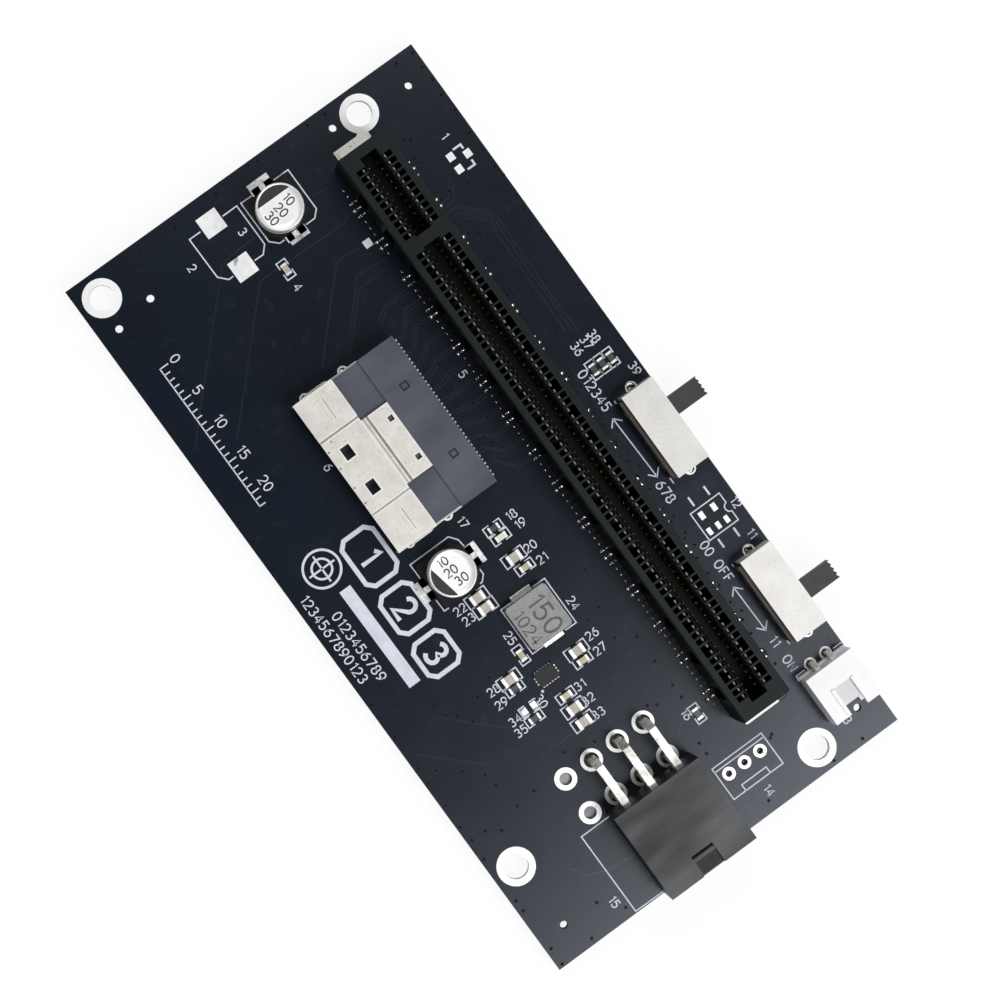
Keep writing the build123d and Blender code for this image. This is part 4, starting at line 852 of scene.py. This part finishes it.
# Painted shade: the housing's sideways and downward faces are turned near black.
dark_sides(header_black_painted_shade_and_sheen, (0.012, 0.012, 0.013))
dress("power_header_housing", header_black_painted_shade_and_sheen)
header_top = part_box("power_header_housing")[1].z * 1000
witness = finish("header_witness", (0.012, 0.012, 0.013), (0.03, 0.029, 0.03), 900, 0.5)
witness_path = [(-18.3, -48.9), (-17.4, -49.0), (-14.75, -49.05)]
piece_from("header_witness_line", [stripe(witness_path, 0.09, header_top + 0.006)], witness)
# Painted shade: a near-black plate on the floor of the latch notch and a black one over its slit.
notch_floor_shade = finish("header_notch_floor", (0.005, 0.005, 0.006), (0.016, 0.016, 0.017), 240, 0.4, sheen=0.2)
notch_slit_shade = finish("header_notch_slit", (0.0015, 0.0015, 0.0015), (0.003, 0.003, 0.003), 240, 0.6, sheen=0.1)
notch_z = header_top - 0.7
for name, front, back, shade in (("floor", -54.45, -52.56, notch_floor_shade),
                                 ("slit", -51.96, -51.55, notch_slit_shade)):
    plate = block_pad(-22.38, -19.06, front, back, notch_z, notch_z + 0.01)
    piece_from(f"header_notch_{name}", [plate], shade)
pin_tin = finish("pin_tin", (0.32, 0.315, 0.29), (0.88, 0.87, 0.81), 520, 0.26, 0.1, metallic=0.6,
                 bump=0.00001, bump_scale=900)
dress("power_pins_upper", pin_tin)
dress("power_pins_lower", pin_tin)

# Auxiliary header. A small open-fronted shroud moulded in white plastic, with two
# bent and tinned pins. A greyer plate in the notch of its roof is painted shade.
shroud_white = finish("shroud_white", (0.85, 0.85, 0.87), (0.9, 0.9, 0.92), 400, 0.42, 0.05,
                      bump=0.000006, bump_scale=2500, sheen=0.5)
dress("aux_header_housing", shroud_white)
# Painted shade: a grey plate over the white notch floor stands in for the shade in the recess.
shroud_notch_shade = finish("shroud_notch_painted_shade", (0.62, 0.62, 0.64), (0.7, 0.7, 0.72), 500, 0.45, sheen=0.4)
notch_shade_plate = block_pad(5.68, 8.3, -48.35, -45.62, top_mm + 5.1, top_mm + 5.3)
piece_from("aux_header_notch_shade", [notch_shade_plate], shroud_notch_shade)
dress("aux_header_pins", tinned_strip)

# Slide switches. Folded frames of tin-plated steel over a dark brown phenolic base,
# with a ridged black knob that slides along the board's edge.
frame_tin = finish("frame_tin", (0.6, 0.585, 0.565), (0.67, 0.655, 0.635), 300, 0.42, 0.06, metallic=0.3,
                   bump=0.000004, bump_scale=2600, fleck=(0.5, 0.485, 0.47), fleck_share=0.64,
                   fleck_scale=3600)
phenolic = finish("phenolic", (0.012, 0.008, 0.005), (0.04, 0.022, 0.009), 600, 0.5, 0.1, bump=0.00001,
                  bump_scale=1500)
knob_black = finish("knob_black", (0.024, 0.028, 0.028), (0.036, 0.041, 0.041), 500, 0.5, 0.08, bump=0.00001,
                    bump_scale=1800, sheen=0.35)
for number in (1, 2):
    dress(f"switch_{number}_frame", frame_tin)
    dress(f"switch_{number}_base", phenolic)
    dress(f"switch_{number}_terminals", tinned_strip)
    dress(f"switch_{number}_slider", knob_black)
    dress(f"switch_{number}_clip", spring_gold_painted_shade)

# Electrolytic capacitors. Drawn aluminium cans with a rolled groove, crimped on
# black bases with two chamfered corners and soldered by two leads. A dark segment
# marks one side of the top.
can_silver = finish("can_silver", (0.84, 0.84, 0.85), (0.92, 0.92, 0.93), 260, 0.34, 0.06, metallic=0.4,
                    bump=0.000004, bump_scale=2200, fleck=(0.76, 0.76, 0.77), fleck_share=0.66,
                    fleck_scale=3000)
base_black = finish("base_black", (0.004, 0.004, 0.005), (0.008, 0.008, 0.009), 500, 0.5, 0.06, sheen=0.2)
mark_black = finish("mark_black", (0.014, 0.015, 0.016), (0.024, 0.025, 0.026), 700, 0.42, 0.06, sheen=0.35)


def can_skin(x, y, low):
    """A can's outer skin, turned round its axis from a profile of radius and height.

    The profile climbs the wall, dips 0.28 mm at the groove along half a cosine,
    rounds the shoulder as a quarter circle of 0.2 mm, steps down 0.04 mm inside
    the rim and closes at one point in the middle.
    """
    can_radius, lid = 3.15, 5.36
    groove = np.linspace(-1, 1, 9)
    wall = [(can_radius, 1.0)]
    wall += [(can_radius - 0.14 * (1 + np.cos(pi * g)), 1.9 + 0.4 * g) for g in groove]
    bend = np.linspace(0, pi / 2, 8)
    shoulder = [(2.95 + 0.2 * np.cos(b), 5.2 + 0.2 * np.sin(b)) for b in bend]
    radius, height = np.array(wall + shoulder + [(2.9, lid), (2.2, lid)]).T
    return rings_round(x, y, radius, radius, low + height, 72, low + lid)


def segment(x, y, turn_deg, radius, chord, height):
    """One face: the part of a disc beyond a chord, from points along its arc."""
    half, count = np.arccos(chord / radius), 33
    angle = radians(turn_deg) + np.linspace(-half, half, count)
    round_x, round_y = x + radius * np.cos(angle), y + radius * np.sin(angle)
    return np.column_stack([round_x, round_y, np.full(count, height)]) / 1000, [list(range(count))]


upper_x, upper_y, lower_x, lower_y = -15.9, 47.2, -25.6, -4.1
print_z = top_mm + 5.422
for name, x, y, turn_deg, chord in (("upper", upper_x, upper_y, 90, 1.42),
                                    ("lower", lower_x, lower_y, 191, 1.55)):
    turned_skin = can_skin(x, y, top_mm + 0.05)
    skin = piece_from(f"can_{name}", [turned_skin], can_silver, smooth=True)
    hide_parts(f"capacitor_{name}_can")
    piece_from(f"can_{name}_mark", [segment(x, y, turn_deg, 2.87, chord, print_z)], mark_black)
    dress(f"capacitor_{name}_base", base_black)
    dress(f"capacitor_{name}_leads", tinned_strip)
can_numbers = []
for text, (x, y), (low_x, low_y) in (("10", (1.5, 0.2), (-0.3, 1.97)), ("20", (-0.1, -0.4), (-0.06, 0.4)),
                                     ("30", (-1.7, -0.6), (0.5, -1.2))):
    can_numbers += written(text, upper_x + x, upper_y + y, 1.15, -82, print_z + 0.002, 0.16)
    can_numbers += written(text, lower_x + low_x, lower_y + low_y, 1.15, 0, print_z + 0.002, 0.16)
piece_from("can_numbers", can_numbers, mark_black)
lead_lands = [(-17.6, -14.4, 50.0, 52.2), (-17.2, -14.3, 42.5, 44.4), (-22.4, -20.7, -5.6, -2.5),
              (-30.66, -28.85, -5.6, -2.6)]
wetted = finish("wetted_land", (0.3, 0.3, 0.34), (0.9, 0.9, 0.9), 800, 0.3, 0.1, metallic=0.45, bump=0.00004,
                bump_scale=900)
land_pads = [block_pad(*land, top_mm + 0.01, top_mm + 0.05) for land in lead_lands]
piece_from("can_lead_lands", land_pads, wetted)

# Inductor. A block pressed from iron powder, matt mid grey and stamped with numbers,
# over two tinned straps soldered to the board.
pressed_iron = finish("pressed_iron", (0.26, 0.26, 0.265), (0.33, 0.33, 0.33), 900, 0.6, 0.08, metallic=0.1,
                      bump=0.00001, bump_scale=5200, fleck=(0.2, 0.2, 0.205), fleck_share=0.58,
                      fleck_scale=6500)
dress("inductor_body", pressed_iron)
dress("inductor_terminals", tinned_strip)
stamp_grey = finish("stamp_grey", (0.07, 0.07, 0.075), (0.11, 0.11, 0.11), 900, 0.6)
stamp_z = top_mm + 3.012
stamp = written("150", -18.9, -15.5, 2.5, -90, stamp_z, 0.13)
stamp += written("1024", -21.75, -15.7, 1.6, -90, stamp_z, 0.14)
piece_from("inductor_numbers", stamp, stamp_grey)

# Converter chip. A thin square package of black moulded resin, soldered by a ring
# of tinned leads round its foot.
chip_resin = finish("chip_resin", (0.008, 0.008, 0.009), (0.013, 0.013, 0.014), 900, 0.45, 0.06,
                    bump=0.000006, bump_scale=3000, sheen=0.3)
dress("converter_chip", chip_resin)
dress("converter_chip_leads", tinned_strip)

# Small parts. Fired ceramic capacitors in yellowish and greyish cream, resistors
# under black glaze and a cream lamp, all with tinned ends.
ceramic_cream = finish("ceramic_cream", (0.42, 0.38, 0.26), (0.54, 0.5, 0.36), 1200, 0.45, 0.06)
ceramic_grey = finish("ceramic_grey", (0.42, 0.4, 0.34), (0.52, 0.5, 0.44), 1200, 0.45, 0.06)
glaze = finish("resistor_glaze", (0.03, 0.03, 0.032), (0.055, 0.055, 0.056), 1200, 0.3, 0.06)
lamp_resin = finish("lamp_resin", (0.7, 0.7, 0.55), (0.8, 0.8, 0.66), 900, 0.3, 0.05)
end_tin = finish("end_tin", (0.8, 0.8, 0.78), (0.94, 0.94, 0.91), 1500, 0.3, 0.1, metallic=0.5,
                 bump=0.00002, bump_scale=2500)
dress("small_capacitor_bodies", ceramic_cream)
dress("large_capacitor_bodies", ceramic_grey)
dress("resistor_bodies", glaze)
dress("indicator_lamp", lamp_resin)
for node in ("small_capacitor_ends", "large_capacitor_ends", "resistor_ends", "indicator_lamp_ends"):
    dress(node, end_tin)
